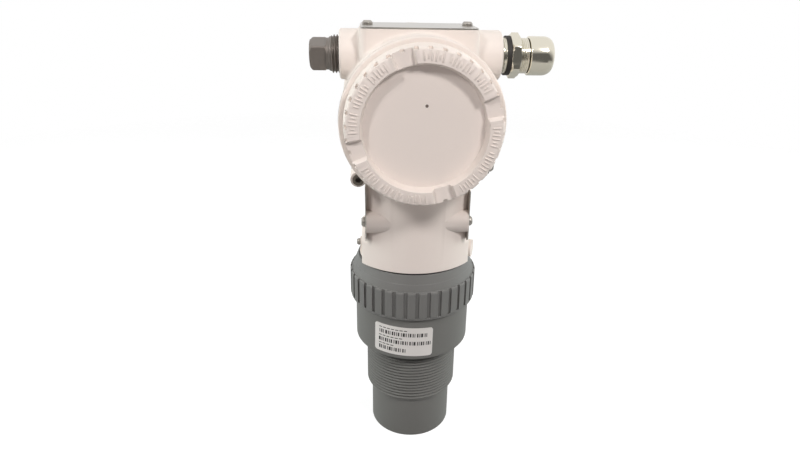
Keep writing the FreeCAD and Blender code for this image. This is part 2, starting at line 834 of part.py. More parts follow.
for side, shift in (("left", -top_screw_side), ("right", top_screw_side)):
    hollows.append(upright(f"{side}_top_hole", shank_hole, top_hole_floor, block_top + 1.0, shift))
for side, across in mount_points:
    hollows.append(forwards(f"{side}_wall_hole", shank_hole, wall_rear - 1.0,
                            wall_rear + size.inner_shank_length + size.fit_gap, across, mount_height))
node("housing", cut("housing", casting, *hollows))

# Covers: threaded skirt, flange, castellated rim with a recessed face
skirt_radius = size.mouth_radius - size.skirt_gap
flange_back = face_station + size.fit_gap
flange_front = flange_back + size.flange_thickness
rim_station = flange_front + size.rim_height
recess_station = rim_station - size.recess_depth
roof_station = recess_station - size.recess_floor
skirt_station = mouth_station + size.skirt_floor_gap
skirt_inner = skirt_radius - size.skirt_wall
flange_radius = ring_radius - size.flange_inset
rim_base = flange_radius - size.rim_step
rim_radius = rim_base - size.rim_draft
rim_corner = rim_radius - size.rim_chamfer
recess_radius = rim_radius - size.rim_width


def cover(label, turn, spin):
    """A blind screw cover whose axis is the barrel's."""
    body = turned(label, [
        (skirt_inner, skirt_station),
        (skirt_radius, skirt_station),
        (skirt_radius, flange_back),
        (flange_radius, flange_back),
        (flange_radius, flange_front - size.flange_chamfer),
        (flange_radius - size.flange_chamfer, flange_front),
        (rim_base, flange_front),
        (rim_radius, rim_station - size.rim_chamfer),
        (rim_corner, rim_station),
        (recess_radius, rim_station),
        (recess_radius - size.recess_slope, recess_station),
        (0, recess_station),
        (0, roof_station),
        (skirt_inner, roof_station),
    ], 0, 0, axis_height, turn.multiply(FreeCAD.Rotation(AXIS_Z, spin.number)))
    inside = recess_radius - size.recess_slope - 2.0
    outside = rim_base + 4.0
    pocket_round(body, f"{label}_gap", [
        (inside, -size.gap_half_width),
        (outside, -size.gap_half_width * 1.35),
        (outside, size.gap_half_width * 1.35),
        (inside, size.gap_half_width),
    ], rim_station + 0.01, size.gap_depth, size.gap_count, -size.gap_slope)
    half_notch = size.notch_width / 2
    pocket_round(body, f"{label}_notch", [
        (rim_radius - size.notch_depth, -half_notch),
        (outside, -half_notch),
        (outside, half_notch),
        (rim_radius - size.notch_depth, half_notch),
    ], rim_station + 0.01, size.notch_length, size.notch_count)
    return node(label, body)


cover("front_cover", TO_FRONT, size.front_cover_turn)
cover("rear_cover", TO_REAR, size.rear_cover_turn)

seal_station = seal_floor + size.cover_seal_section + size.screw_hole_gap
for label, shift, turn in (
        ("front_cover_seal", -seal_station, TO_FRONT), ("rear_cover_seal", seal_station, TO_REAR)):
    ring = doc.addObject("Part::Torus", label)
    bind(ring, "Radius1", seal_radius)
    bind(ring, "Radius2", size.cover_seal_section)
    node(label, place(ring, 0, shift, axis_height, turn))

# Screws that lock the covers: the tip stands just behind the flange
lock_tip = face_station - 0.2
lock_end = lock_tip - size.lock_screw_length
lock_socket = size.lock_screw_radius * 0.55


def lock_screw(label, near, far, x, socket_near, socket_far):
    """A headless screw with a hexagon socket in its inner end."""
    rod = forwards(f"{label}_rod", size.lock_screw_radius, near, far, x, lug_height)
    socket = doc.addObject("Part::Prism", f"{label}_socket")
    socket.Polygon = 6
    bind(socket, "Circumradius", lock_socket)
    bind(socket, "Height", socket_far - socket_near)
    place(socket, x, -socket_near, lug_height, TO_FRONT)
    return node(label, cut(label, rod, socket))


lock_screw("front_lock_screw", lock_end, lock_tip, -lug_side, lock_tip - 2.5, lock_tip + 1.0)
lock_screw("rear_lock_screw", -lock_tip, -lock_end, lug_side, -lock_tip - 1.0, -lock_tip + 2.5)

# Plate on the top block and its two screws
top_sheet = rounded(
    "top_sheet", box("top_blank", (-top_plate_side, top_plate_side), (-top_plate_end, top_plate_end),
                     (block_top, plate_top)),
    along(AXIS_Z, size.top_plate_round))
node("top_plate", cut(
    "top_plate", top_sheet,
    upright("left_plate_hole", shank_hole, block_top - 1.0, plate_top + 1.0, -top_screw_side),
    upright("right_plate_hole", shank_hole, block_top - 1.0, plate_top + 1.0, top_screw_side)))
node("top_plate_screws", group("top_plate_screws", *[
    screw(f"{side}_top_screw", size.screw_head_radius, size.screw_head_height, size.screw_shank_radius,
          size.top_shank_length, shift, 0, plate_top, UPRIGHT)
    for side, shift in (("left", -top_screw_side), ("right", top_screw_side))]))

# Plates on the flats of the neck and their screws
side_screws = []
side_plate_end = size.boss_offset + size.side_plate_edge
side_plate_bottom = collar_top + size.side_plate_low_gap
side_plate_top = earth_boss_height - size.earth_boss_radius - size.side_plate_high_gap
for side, low, high, seat, turn in (
        ("left", -flat_side - size.side_plate_thickness, -flat_side,
         -flat_side - size.side_plate_thickness, TO_LEFT),
        ("right", flat_side, flat_side + size.side_plate_thickness,
         flat_side + size.side_plate_thickness, TO_RIGHT)):
    blank = rounded(
        f"{side}_sheet", box(f"{side}_blank", (low, high), (-side_plate_end, side_plate_end),
                             (side_plate_bottom, side_plate_top)),
        along(AXIS_X, size.side_plate_round))
    holes = []
    for end, shift, level in side_screw_points:
        holes.append(sideways(f"{side}_{end}_plate_hole", shank_hole, low - 1.0, high + 1.0, shift, level))
        side_screws.append(screw(
            f"{side}_{end}_side_screw", size.screw_head_radius, size.screw_head_height, size.screw_shank_radius,
            size.screw_shank_length, seat, shift, level, turn))
    node(f"{side}_side_plate", cut(f"{side}_side_plate", blank, *holes))
node("side_plate_screws", group("side_plate_screws", *side_screws))

# Screws on the left of the collar and on the earth boss
node("rotation_lock_screw", screw(
    "rotation_lock_screw", size.lock_head_radius, size.lock_head_height, size.screw_shank_radius,
    size.screw_shank_length, -lock_seat, 0, low_boss_height, TO_LEFT))
washer_face = earth_seat + size.washer_thickness
node("ground_washer", cut(
    "ground_washer",
    sideways("washer_outer", size.washer_radius, earth_seat, washer_face,
             -size.earth_boss_offset, earth_boss_height),
    sideways("washer_inner", big_hole, earth_seat - 1.0, washer_face + 1.0,
             -size.earth_boss_offset, earth_boss_height)))
node("ground_screw", screw(
    "ground_screw", size.big_head_radius, size.big_head_height, size.big_shank_radius, size.big_shank_length,
    washer_face, -size.earth_boss_offset, earth_boss_height, TO_RIGHT))

# Square-head pipe plug in the left hub
plug_face = size.plug_inside + size.plug_outside
plug_head_start = plug_face + size.plug_neck_length
plug_end = plug_head_start + size.plug_head_length
plug_base = size.plug_inside - left_face
plug_body = turned("plug_body", [
    (0, 0),
    (size.conduit_radius - size.plug_chamfer, 0),
    (size.conduit_radius, size.plug_chamfer),
    (size.conduit_radius, plug_face - size.plug_chamfer),
    (size.conduit_radius - size.plug_chamfer, plug_face),
    (size.plug_neck_radius, plug_face),
    (size.plug_neck_radius, plug_head_start),
    (0, plug_head_start),
], plug_base, 0, hub_height, TO_LEFT)
half_square = size.plug_square / 2
plug_corner = size.plug_square * 0.68
plug_bar = box("plug_bar", (-half_square, half_square), (-half_square, half_square), (plug_head_start, plug_end))
spin = FreeCAD.Rotation(AXIS_X, size.plug_turn.number)
plug_square = common("plug_square", plug_bar, turned("plug_square_blank", [
    (0, plug_head_start),
    (plug_corner, plug_head_start),
    (plug_corner, plug_end - size.plug_head_chamfer),
    (plug_corner - size.plug_head_chamfer * 1.5, plug_end),
    (0, plug_end),
]))
place(plug_square, plug_base, 0, hub_height, spin.multiply(TO_LEFT))
node("conduit_plug", fuse("conduit_plug", plug_body, plug_square))

# Cable gland in the right hub: body, washer, claw, seal, slip washer and dome nut
gland_start = right_face - size.gland_inside
seal_start = right_face + size.gland_outside
hex_start = seal_start + size.gland_seal_thickness
hex_end = hex_start + size.gland_hex_length
barrel_end = hex_end + size.gland_barrel_length
neck_end = hex_end + size.gland_neck_length - size.fit_gap
spigot_radius = size.gland_neck_radius - size.gland_spigot_step
claw_start = barrel_end - size.claw_depth
claw_radius = spigot_radius - size.gland_wall - size.claw_gap
claw_bore = claw_radius - size.claw_wall
hex_corner = size.gland_flats * HEX_CORNER / 2
hex_circle = hex_corner - size.gland_hex_chamfer / 4


def hexagon(name, flats, start, end):
    """A hexagonal bar along the gland's axis, corners up and down."""
    item = doc.addObject("Part::Prism", name)
    item.Polygon = 6
    bind(item, "Circumradius", flats * HEX_CORNER / 2)
    bind(item, "Height", end - start)
    return place(item, start, 0, hub_height, TO_RIGHT)


gland_hex = common("gland_hex", hexagon("gland_bar", size.gland_flats, hex_start, hex_end), turned("gland_rounds", [
    (0, hex_start),
    (hex_circle - size.gland_hex_chamfer, hex_start),
    (hex_circle, hex_start + size.gland_hex_chamfer / 2),
    (hex_circle, hex_end - size.gland_hex_chamfer / 2),
    (hex_circle - size.gland_hex_chamfer, hex_end),
    (0, hex_end),
], 0, 0, hub_height, TO_RIGHT))
gland_stem = turned("gland_stem", [
    (0, gland_start),
    (size.conduit_radius, gland_start),
    (size.conduit_radius, seal_start),
    (size.gland_neck_radius, seal_start),
    (size.gland_neck_radius, neck_end),
    (spigot_radius, neck_end),
    (spigot_radius, barrel_end),
    (0, barrel_end),
], 0, 0, hub_height, TO_RIGHT)
gland_bore = turned("gland_bore", [
    (0, gland_start - 1.0),
    (size.gland_bore_radius, gland_start - 1.0),
    (size.gland_bore_radius, claw_start),
    (claw_radius + size.claw_gap, claw_start),
    (claw_radius + size.claw_gap, barrel_end + 1.0),
    (0, barrel_end + 1.0),
], 0, 0, hub_height, TO_RIGHT)
node("gland_body", cut("gland_body", fuse("gland_blank", gland_stem, gland_hex), gland_bore))
node("gland_seal_ring", turned("gland_seal_ring", [
    (size.gland_neck_radius, seal_start),
    (size.gland_seal_radius, seal_start),
    (size.gland_seal_radius, hex_start),
    (size.gland_neck_radius, hex_start),
], 0, 0, hub_height, TO_RIGHT))
claw = turned("gland_claw", [
    (claw_bore, claw_start),
    (claw_radius, claw_start),
    (claw_radius, barrel_end),
    (claw_bore, barrel_end),
], 0, 0, hub_height, TO_RIGHT)
node("gland_claw", claw)
node("gland_insert", turned("gland_insert", [
    (size.cable_radius, claw_start),
    (claw_bore, claw_start),
    (claw_bore, barrel_end),
    (size.cable_radius, barrel_end),
], 0, 0, hub_height, TO_RIGHT))
dome_start = hex_end + size.gland_neck_length
dome_bore = spigot_radius + size.dome_skirt_gap
dome_radius = dome_bore + size.dome_wall
slip_start = barrel_end + size.fit_gap
slip_end = slip_start + size.slip_thickness
slip_radius = dome_bore - size.slip_gap
node("gland_slip_washer", turned("gland_slip_washer", [
    (size.slip_bore_radius, slip_start),
    (slip_radius, slip_start),
    (slip_radius, slip_end),
    (size.slip_bore_radius, slip_end),
], 0, 0, hub_height, TO_RIGHT))
dome_end = dome_start + size.dome_length
dome_end_radius = dome_radius - size.dome_end_inset
dome_flats = (dome_radius - size.dome_flat_depth) * 2
dome_shape = turned("dome_shape", [
    (dome_bore, dome_start),
    (dome_radius - size.dome_skirt_gap, dome_start),
    (dome_radius, dome_start + size.dome_skirt_gap),
    (dome_radius, dome_end - size.dome_round_length),
    (dome_radius * 0.4 + dome_end_radius * 0.6, dome_end - size.dome_round_length * 0.35),
    (dome_end_radius, dome_end),
    (size.dome_hole_radius, dome_end),
    (size.dome_hole_radius, slip_end),
    (dome_bore, slip_end),
], 0, 0, hub_height, TO_RIGHT)
node("gland_dome_nut", common("gland_dome_nut", dome_shape, hexagon("dome_bar", dome_flats, dome_start, dome_end)))

# Boards in the front compartment, on three stacks of spacers
lower_board = size.wall_station + size.lower_spacer_length
lower_face = lower_board + size.board_thickness
upper_board = lower_face + size.upper_spacer_length
upper_face = upper_board + size.board_thickness
board_radius = cavity_radius - size.board_gap
stack_circle = board_radius - size.spacer_inset
stack_points = [
    (0, axis_height + stack_circle),
    (-stack_circle * math.cos(math.pi / 6.0), axis_height - stack_circle / 2),
    (stack_circle * math.cos(math.pi / 6.0), axis_height - stack_circle / 2),
]
spacers = []
board_screws = []
for index, (across, height) in enumerate(stack_points):
    for level, near, far in (("lower", size.wall_station, lower_board), ("upper", lower_face, upper_board)):
        spacers.append(cut(
            f"{level}_spacer_{index}", forwards(f"{level}_spacer_blank_{index}", size.spacer_radius, near, far,
                                                across, height),
            forwards(f"{level}_spacer_bore_{index}", size.spacer_hole_radius, near - 1.0, far + 1.0, across, height)))
    board_screws.append(fuse(
        f"board_screw_{index}",
        forwards(f"board_shank_{index}", size.board_screw_radius, size.wall_station + size.fit_gap, upper_face,
                 across, height),
        forwards(f"board_head_{index}", size.board_head_radius, upper_face, upper_face + size.board_head_height,
                 across, height)))
node("board_spacers", group("board_spacers", *spacers))
node("board_screws", group("board_screws", *board_screws))


def board(label, near, far):
    """A round circuit board with a hole at each stack of spacers."""
    disc = forwards(f"{label}_disc", board_radius, near, far, 0, axis_height)
    holes = [forwards(f"{label}_hole_{index}", size.spacer_hole_radius, near - 1.0, far + 1.0, across, height)
             for index, (across, height) in enumerate(stack_points)]
    return node(label, cut(label, disc, *holes))


board("main_board", lower_board, lower_face)
board("power_board", upper_board, upper_face)
header_bottom = axis_height - size.header_rise
node("board_header", box(
    "board_header", (-size.header_half_width, size.header_half_width), (-lower_board, -size.wall_station - size.fit_gap),
    (header_bottom, header_bottom + size.header_height)))
node("board_transformer", box(
    "board_transformer", (-size.transformer_half_width, size.transformer_half_width),
    (-lower_face - size.transformer_depth, -lower_face),
    (axis_height - size.transformer_height / 2, axis_height + size.transformer_height / 2)))
node("board_capacitors", group("board_capacitors", *[
    forwards(f"capacitor_{side}", size.capacitor_radius, upper_face, upper_face + size.capacitor_length, shift,
             axis_height)
    for side, shift in (("left", -size.capacitor_offset), ("right", size.capacitor_offset))]))

# Lead from the plug on the axis, bent towards the front and up to the header
lead_shift = lead_station.number
lead_low = lead_bottom.number
lead_high = (neck_ceiling - size.lead_headroom).number
lead_bend = lead_high - size.lead_rise.number
lead_end = header_bottom.number
bend_angle = math.atan2(lead_shift, size.lead_rise.number)
bend_radius = size.lead_bend_radius.number
bend_reach = bend_radius * math.tan(bend_angle / 2)


def on_lead(station, height):
    return FreeCAD.Vector(0, -station, height)


def bend_point(corner_station, corner_height, centre_station):
    """The middle of a bend's arc, inside the corner towards the bend's centre."""
    middle = bend_angle / 2
    inset = bend_radius / math.cos(middle) - bend_radius
    side = 1 if centre_station > corner_station else -1
    return on_lead(corner_station + side * inset * math.cos(middle),
                   corner_height - side * inset * math.sin(middle))


slant_across = math.sin(bend_angle)
slant_up = math.cos(bend_angle)
lead_points = [
    on_lead(0, lead_low),
    on_lead(0, lead_bend - bend_reach),
    on_lead(bend_reach * slant_across, lead_bend + bend_reach * slant_up),
    on_lead(lead_shift - bend_reach * slant_across, lead_high - bend_reach * slant_up),
    on_lead(lead_shift, lead_high + bend_reach),
    on_lead(lead_shift, lead_end),
]
lead_path = Part.Wire([
    Part.LineSegment(lead_points[0], lead_points[1]).toShape(),
    Part.Arc(lead_points[1], bend_point(0, lead_bend, lead_shift), lead_points[2]).toShape(),
    Part.LineSegment(lead_points[2], lead_points[3]).toShape(),
    Part.Arc(lead_points[3], bend_point(lead_shift, lead_high, 0), lead_points[4]).toShape(),
    Part.LineSegment(lead_points[4], lead_points[5]).toShape(),
])
lead_ring = Part.Wire([Part.Circle(lead_points[0], AXIS_Z, size.lead_radius.number).toShape()])
lead = doc.addObject("Part::Feature", "sensor_lead")
lead.Shape = lead_path.makePipeShell([lead_ring], True, True)
node("sensor_lead", lead)
expected = math.pi * size.lead_radius.number ** 2 * lead_path.Length
print("lead volume", round(lead.Shape.Volume, 1), "expected", round(expected, 1), "bend radius", bend_radius)

# Terminals in the rear compartment, behind the dividing wall
node("feedthrough", forwards("feedthrough", size.feed_radius, wall_rear, lower_board, size.feed_side, feed_height))
terminal_face = size.terminal_depth - wall_rear
block_bottom = axis_height - size.terminal_bottom
barrier_top = block_bottom + size.barrier_height
terminal_row = block_bottom + size.barrier_height / 2
terminal_points = [("left", -size.terminal_pitch), ("middle", size.terminal_pitch * 0), ("right", size.terminal_pitch)]
terminal_parts = [box("terminal_base", (-size.terminal_half_width, size.terminal_half_width),
                      (-wall_rear, terminal_face), (block_bottom, axis_height + size.terminal_rise))]
for index in range(4):
    middle = size.terminal_pitch * (index - 1.5)
    terminal_parts.append(box(
        f"barrier_{index}", (middle - size.barrier_thickness / 2, middle + size.barrier_thickness / 2),
        (-wall_rear, terminal_face + size.barrier_depth), (block_bottom, barrier_top)))
terminal_holes = []
clamps = []
terminal_screws = []
clamp_face = terminal_face + size.clamp_thickness
for side, across in terminal_points:
    terminal_holes.append(forwards(f"{side}_terminal_hole", shank_hole, -terminal_face - 1.0,
                                   size.screw_shank_length - terminal_face, across, terminal_row))
    clamps.append(cut(
        f"{side}_clamp",
        box(f"{side}_clamp_blank", (across - size.clamp_half_width, across + size.clamp_half_width),
            (terminal_face, clamp_face), (terminal_row - size.clamp_half_width, terminal_row + size.clamp_half_width)),
        forwards(f"{side}_clamp_hole", shank_hole, -clamp_face - 1.0, 1.0 - terminal_face, across, terminal_row)))
    terminal_screws.append(screw(
        f"{side}_terminal_screw", size.screw_head_radius, size.screw_head_height, size.screw_shank_radius,
        size.screw_shank_length, across, clamp_face, terminal_row, TO_REAR))
block_screws = []
for side, across in mount_points:
    terminal_holes.append(forwards(f"{side}_mount_hole", shank_hole, -terminal_face - 1.0, wall_rear + 1.0,
                                   across, mount_height))
    block_screws.append(screw(
        f"{side}_mount_screw", size.screw_head_radius, size.screw_head_height, size.screw_shank_radius,
        mount_length, across, terminal_face, mount_height, TO_REAR))
node("terminal_block", cut("terminal_block", fuse("terminal_blank", *terminal_parts), *terminal_holes))
node("terminal_clamps", group("terminal_clamps", *clamps))
node("terminal_screws", group("terminal_screws", *terminal_screws))
node("terminal_block_screws", group("terminal_block_screws", *block_screws))
node("inner_ground_screw", screw(
    "inner_ground_screw", size.big_head_radius, size.big_head_height, size.big_shank_radius, size.inner_shank_length,
    inner_earth_side, -wall_rear, earth_height, TO_REAR))

# Every object is sound before anything is written
doc.recompute()
for item in doc.Objects:
    if "Invalid" in item.State or "Error" in item.State:
        raise ValueError(f"{item.Label} failed: {item.State}")
for label, item in nodes.items():
    if item.Shape.isNull() or not item.Shape.isValid() or not item.Shape.Solids:
        raise ValueError(f"{label} has no sound shape")
os.makedirs("parts", exist_ok=True)
for label, item in nodes.items():
    item.Shape.exportStep(f"parts/{label}.step")
print("wrote", len(nodes), "pieces")
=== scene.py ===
"""Looks of an ultrasonic level transmitter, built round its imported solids."""

from __future__ import annotations

import logging
import math
from dataclasses import dataclass
from enum import Enum
from typing import Iterable

import bmesh
import bpy
from mathutils import Matrix, Vector

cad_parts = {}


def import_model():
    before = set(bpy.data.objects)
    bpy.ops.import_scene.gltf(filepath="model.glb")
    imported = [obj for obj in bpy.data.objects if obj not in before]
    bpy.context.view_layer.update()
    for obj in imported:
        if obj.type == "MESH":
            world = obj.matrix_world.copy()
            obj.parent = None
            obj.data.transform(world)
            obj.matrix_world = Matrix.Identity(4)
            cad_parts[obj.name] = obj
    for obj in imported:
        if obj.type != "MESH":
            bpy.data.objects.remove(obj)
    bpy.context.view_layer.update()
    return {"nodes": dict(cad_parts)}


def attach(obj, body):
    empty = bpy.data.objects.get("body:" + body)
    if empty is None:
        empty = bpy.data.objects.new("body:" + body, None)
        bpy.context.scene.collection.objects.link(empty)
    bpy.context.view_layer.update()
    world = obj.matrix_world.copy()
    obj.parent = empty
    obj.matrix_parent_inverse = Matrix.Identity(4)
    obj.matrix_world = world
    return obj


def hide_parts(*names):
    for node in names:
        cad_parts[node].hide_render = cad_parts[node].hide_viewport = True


LOG = logging.getLogger("level_transmitter")

Colour = tuple[float, float, float]
Triple = tuple[float, float, float]
Point = tuple[float, float]

MM = 0.001
FULL_TURN = 2.0 * math.pi
WHITE = (1.0, 1.0, 1.0, 1.0)
SOFT_SEGMENTS = 2

# Tolerances in metres
WELD = 1e-7
FLAT_SLACK = 1e-6

# Width of the image in pixels and of the sensor in millimetres, and the near clip in metres
IMAGE_WIDTH = 800.0
SENSOR_WIDTH = 36.0
NEAR_CLIP = 0.01

# Values of the shared shader groups
FINE_DETAIL = 4.0
FINE_ROUGHNESS = 0.6
FINE_SHARE = 0.4
CLOUD_DETAIL = 3.0
CLOUD_SHARE = 0.6
EFFECT_SAMPLES = 6
CREVICE_POWER = 1.6

# Sockets of the Mix node that carry colours
MIX_FIRST = 6
MIX_SECOND = 7
MIX_RESULT = 2


class Slot(Enum):
    """Material slots of the record. Each new piece is passed one, but nothing reads it."""

    PAINT = "housing_paint"
    PLASTIC = "pvc_grey"
    LABEL = "label_white"
    PLUG = "dark_steel"
    NICKEL = "nickel_plate"
    RUBBER = "black_rubber"


class Facing(Enum):
    """Where the local Z axis of a turned piece points in the frame."""

    RIGHT = "right"
    LEFT = "left"
    FRONT = "front"
    REAR = "rear"

    def turn(self) -> Matrix:
        """Find the rotation that brings local Z to this direction.

        Returns:
            The rotation.
        """
        quarter = math.pi / 2.0
        return {
            Facing.RIGHT: Matrix.Rotation(quarter, 4, "Y"),
            Facing.LEFT: Matrix.Rotation(-quarter, 4, "Y"),
            Facing.FRONT: Matrix.Rotation(quarter, 4, "X"),
            Facing.REAR: Matrix.Rotation(-quarter, 4, "X"),
        }[self]


def linear(red: float, green: float, blue: float) -> Colour:
    """Turn a colour in display values into the linear values that a shader takes.

    Args:
        red: Red from 0 to 255.
        green: Green from 0 to 255.
        blue: Blue from 0 to 255.

    Returns:
        The linear colour.
    """
    return tuple(
        (c / 255.0 / 12.92) if c <= 10.3 else ((c / 255.0 + 0.055) / 1.055) ** 2.4
        for c in (red, green, blue))


def smooth_step(value: float) -> float:
    """A soft ramp from 0 to 1."""
    t = min(1.0, max(0.0, value))
    return t * t * (3.0 - 2.0 * t)


# Shader groups that the finishes share

class Wiring:
    """A short way to add and link the nodes of one tree."""

    def __init__(self, tree: bpy.types.NodeTree) -> None:
        """Keep the tree that the nodes go into."""
        self.tree = tree

    def add(self, kind: str, **inputs: object) -> bpy.types.Node:
        """Add a node and set or link its inputs.

        Args:
            kind: Name of the node type.
            inputs: Values or output sockets, by input name with underscores for spaces.

        Returns:
            The new node.
        """
        node = self.tree.nodes.new(kind)
        for name, value in inputs.items():
            self.feed(node.inputs[name.replace("_", " ")], value)
        return node

    def feed(self, socket: bpy.types.NodeSocket, value: object) -> None:
        """Set one socket to a value, or link it to an output.

        Args:
            socket: The input socket.
            value: A value or an output socket.
        """
        if isinstance(value, bpy.types.NodeSocket):
            self.tree.links.new(value, socket)
        else:
            socket.default_value = value

    def group(self, tree: bpy.types.NodeTree) -> bpy.types.Node:
        """Place a shared group.

        Args:
            tree: The group's own tree.

        Returns:
            The new group node.
        """
        node = self.tree.nodes.new("ShaderNodeGroup")
        node.node_tree = tree
        return node

    def math(self, operation: str, first: object, second: object = 0.0,
             clamp: bool = False) -> bpy.types.NodeSocket:
        """Add a Math node.

        Args:
            operation: The sum that it does.
            first: A number or a socket.
            second: A number or a socket.
            clamp: Whether the result stays from 0 to 1.

        Returns:
            The result.
        """
        node = self.tree.nodes.new("ShaderNodeMath")
        node.operation = operation
        node.use_clamp = clamp
        self.feed(node.inputs[0], first)
        self.feed(node.inputs[1], second)
        return node.outputs[0]

    def mix(self, factor: object, first: object, second: object) -> bpy.types.NodeSocket:
        """Mix two colours.

        Args:
            factor: How much of the second colour there is.
            first: A linear colour or a socket.
            second: A linear colour or a socket.

        Returns:
            The mixed colour.
        """
        node = self.tree.nodes.new("ShaderNodeMix")
        node.data_type = "RGBA"
        self.feed(node.inputs[0], factor)
        for index, colour in ((MIX_FIRST, first), (MIX_SECOND, second)):
            self.feed(node.inputs[index], (*colour, 1.0) if isinstance(colour, tuple) else colour)
        return node.outputs[MIX_RESULT]


@dataclass(frozen=True)
class SharedEffects:
    """The shader groups: grain, softened edges and shaded crevices."""

    grain: bpy.types.NodeTree
    edges: bpy.types.NodeTree
    crevices: bpy.types.NodeTree

    @staticmethod
    def socketed(name: str, inputs: Iterable[tuple[str, str]],
                 outputs: Iterable[tuple[str, str]]) -> Wiring:
        """Start a shader group.

        Args:
            name: The group's name.
            inputs: Names and kinds of its inputs.
            outputs: Names and kinds of its outputs.

        Returns:
            The wiring of the new group.
        """
        tree = bpy.data.node_groups.new(name, "ShaderNodeTree")
        for way, sockets in (("INPUT", inputs), ("OUTPUT", outputs)):
            for label, kind in sockets:
                tree.interface.new_socket(
                    name=label, in_out=way, socket_type=f"NodeSocket{kind}")
        return Wiring(tree)

    @classmethod
    def build_grain(cls) -> bpy.types.NodeTree:
        """Lay fine grain over broad clouds.

        Returns:
            A group that puts out a tone and a height.
        """
        wires = cls.socketed(
            "surface_grain",
            [("Vector", "Vector"), ("Scale", "Float"), ("Cloud Scale", "Float")],
            [("Tone", "Float"), ("Height", "Float")])
        given = wires.add("NodeGroupInput")
        fine = wires.add(
            "ShaderNodeTexNoise", Vector=given.outputs[0], Scale=given.outputs[1],
            Detail=FINE_DETAIL, Roughness=FINE_ROUGHNESS)
        cloud = wires.add(
            "ShaderNodeTexNoise", Vector=given.outputs[0], Scale=given.outputs[2],
            Detail=CLOUD_DETAIL)
        tone = wires.math("ADD", wires.math("MULTIPLY", fine.outputs[0], FINE_SHARE),
                          wires.math("MULTIPLY", cloud.outputs[0], CLOUD_SHARE))
        wires.add("NodeGroupOutput", Tone=tone, Height=fine.outputs[0])
        return wires.tree

    @classmethod
    def build_edges(cls) -> bpy.types.NodeTree:
        """Find the edges and round them.

        Returns:
            A group that puts out a mask along edges and normals that round them.
        """
        wires = cls.socketed("softened_edges", [("Radius", "Float"), ("Gain", "Float")],
                             [("Mask", "Float"), ("Normal", "Vector")])
        given = wires.add("NodeGroupInput")
        rounded = wires.add("ShaderNodeBevel", Radius=given.outputs[0])
        rounded.samples = EFFECT_SAMPLES
        surface = wires.add("ShaderNodeNewGeometry")
        likeness = wires.add("ShaderNodeVectorMath")
        likeness.operation = "DOT_PRODUCT"
        wires.feed(likeness.inputs[0], rounded.outputs[0])
        wires.feed(likeness.inputs[1], surface.outputs["Normal"])
        bend = wires.math("SUBTRACT", 1.0, likeness.outputs["Value"])
        mask = wires.math("MULTIPLY", bend, given.outputs[1], clamp=True)
        wires.add("NodeGroupOutput", Mask=mask, Normal=rounded.outputs[0])
        return wires.tree

    @classmethod
    def build_crevices(cls) -> bpy.types.NodeTree:
        """Find the corners and slots where dust gathers and shade falls, to darken them with dust
        and painted shade.

        Returns:
            A group that puts out a mask of them.
        """
        wires = cls.socketed("shaded_crevices", [("Reach", "Float")], [("Mask", "Float")])
        given = wires.add("NodeGroupInput")
        hidden = wires.add("ShaderNodeAmbientOcclusion", Distance=given.outputs[0])
        hidden.samples = EFFECT_SAMPLES
        shade = wires.math("SUBTRACT", 1.0, hidden.outputs["AO"])
        mask = wires.math("POWER", shade, CREVICE_POWER, clamp=True)
        wires.add("NodeGroupOutput", Mask=mask)
        return wires.tree

    @classmethod
    def build(cls) -> SharedEffects:
        """Make the three groups once."""
        return cls(cls.build_grain(), cls.build_edges(), cls.build_crevices())


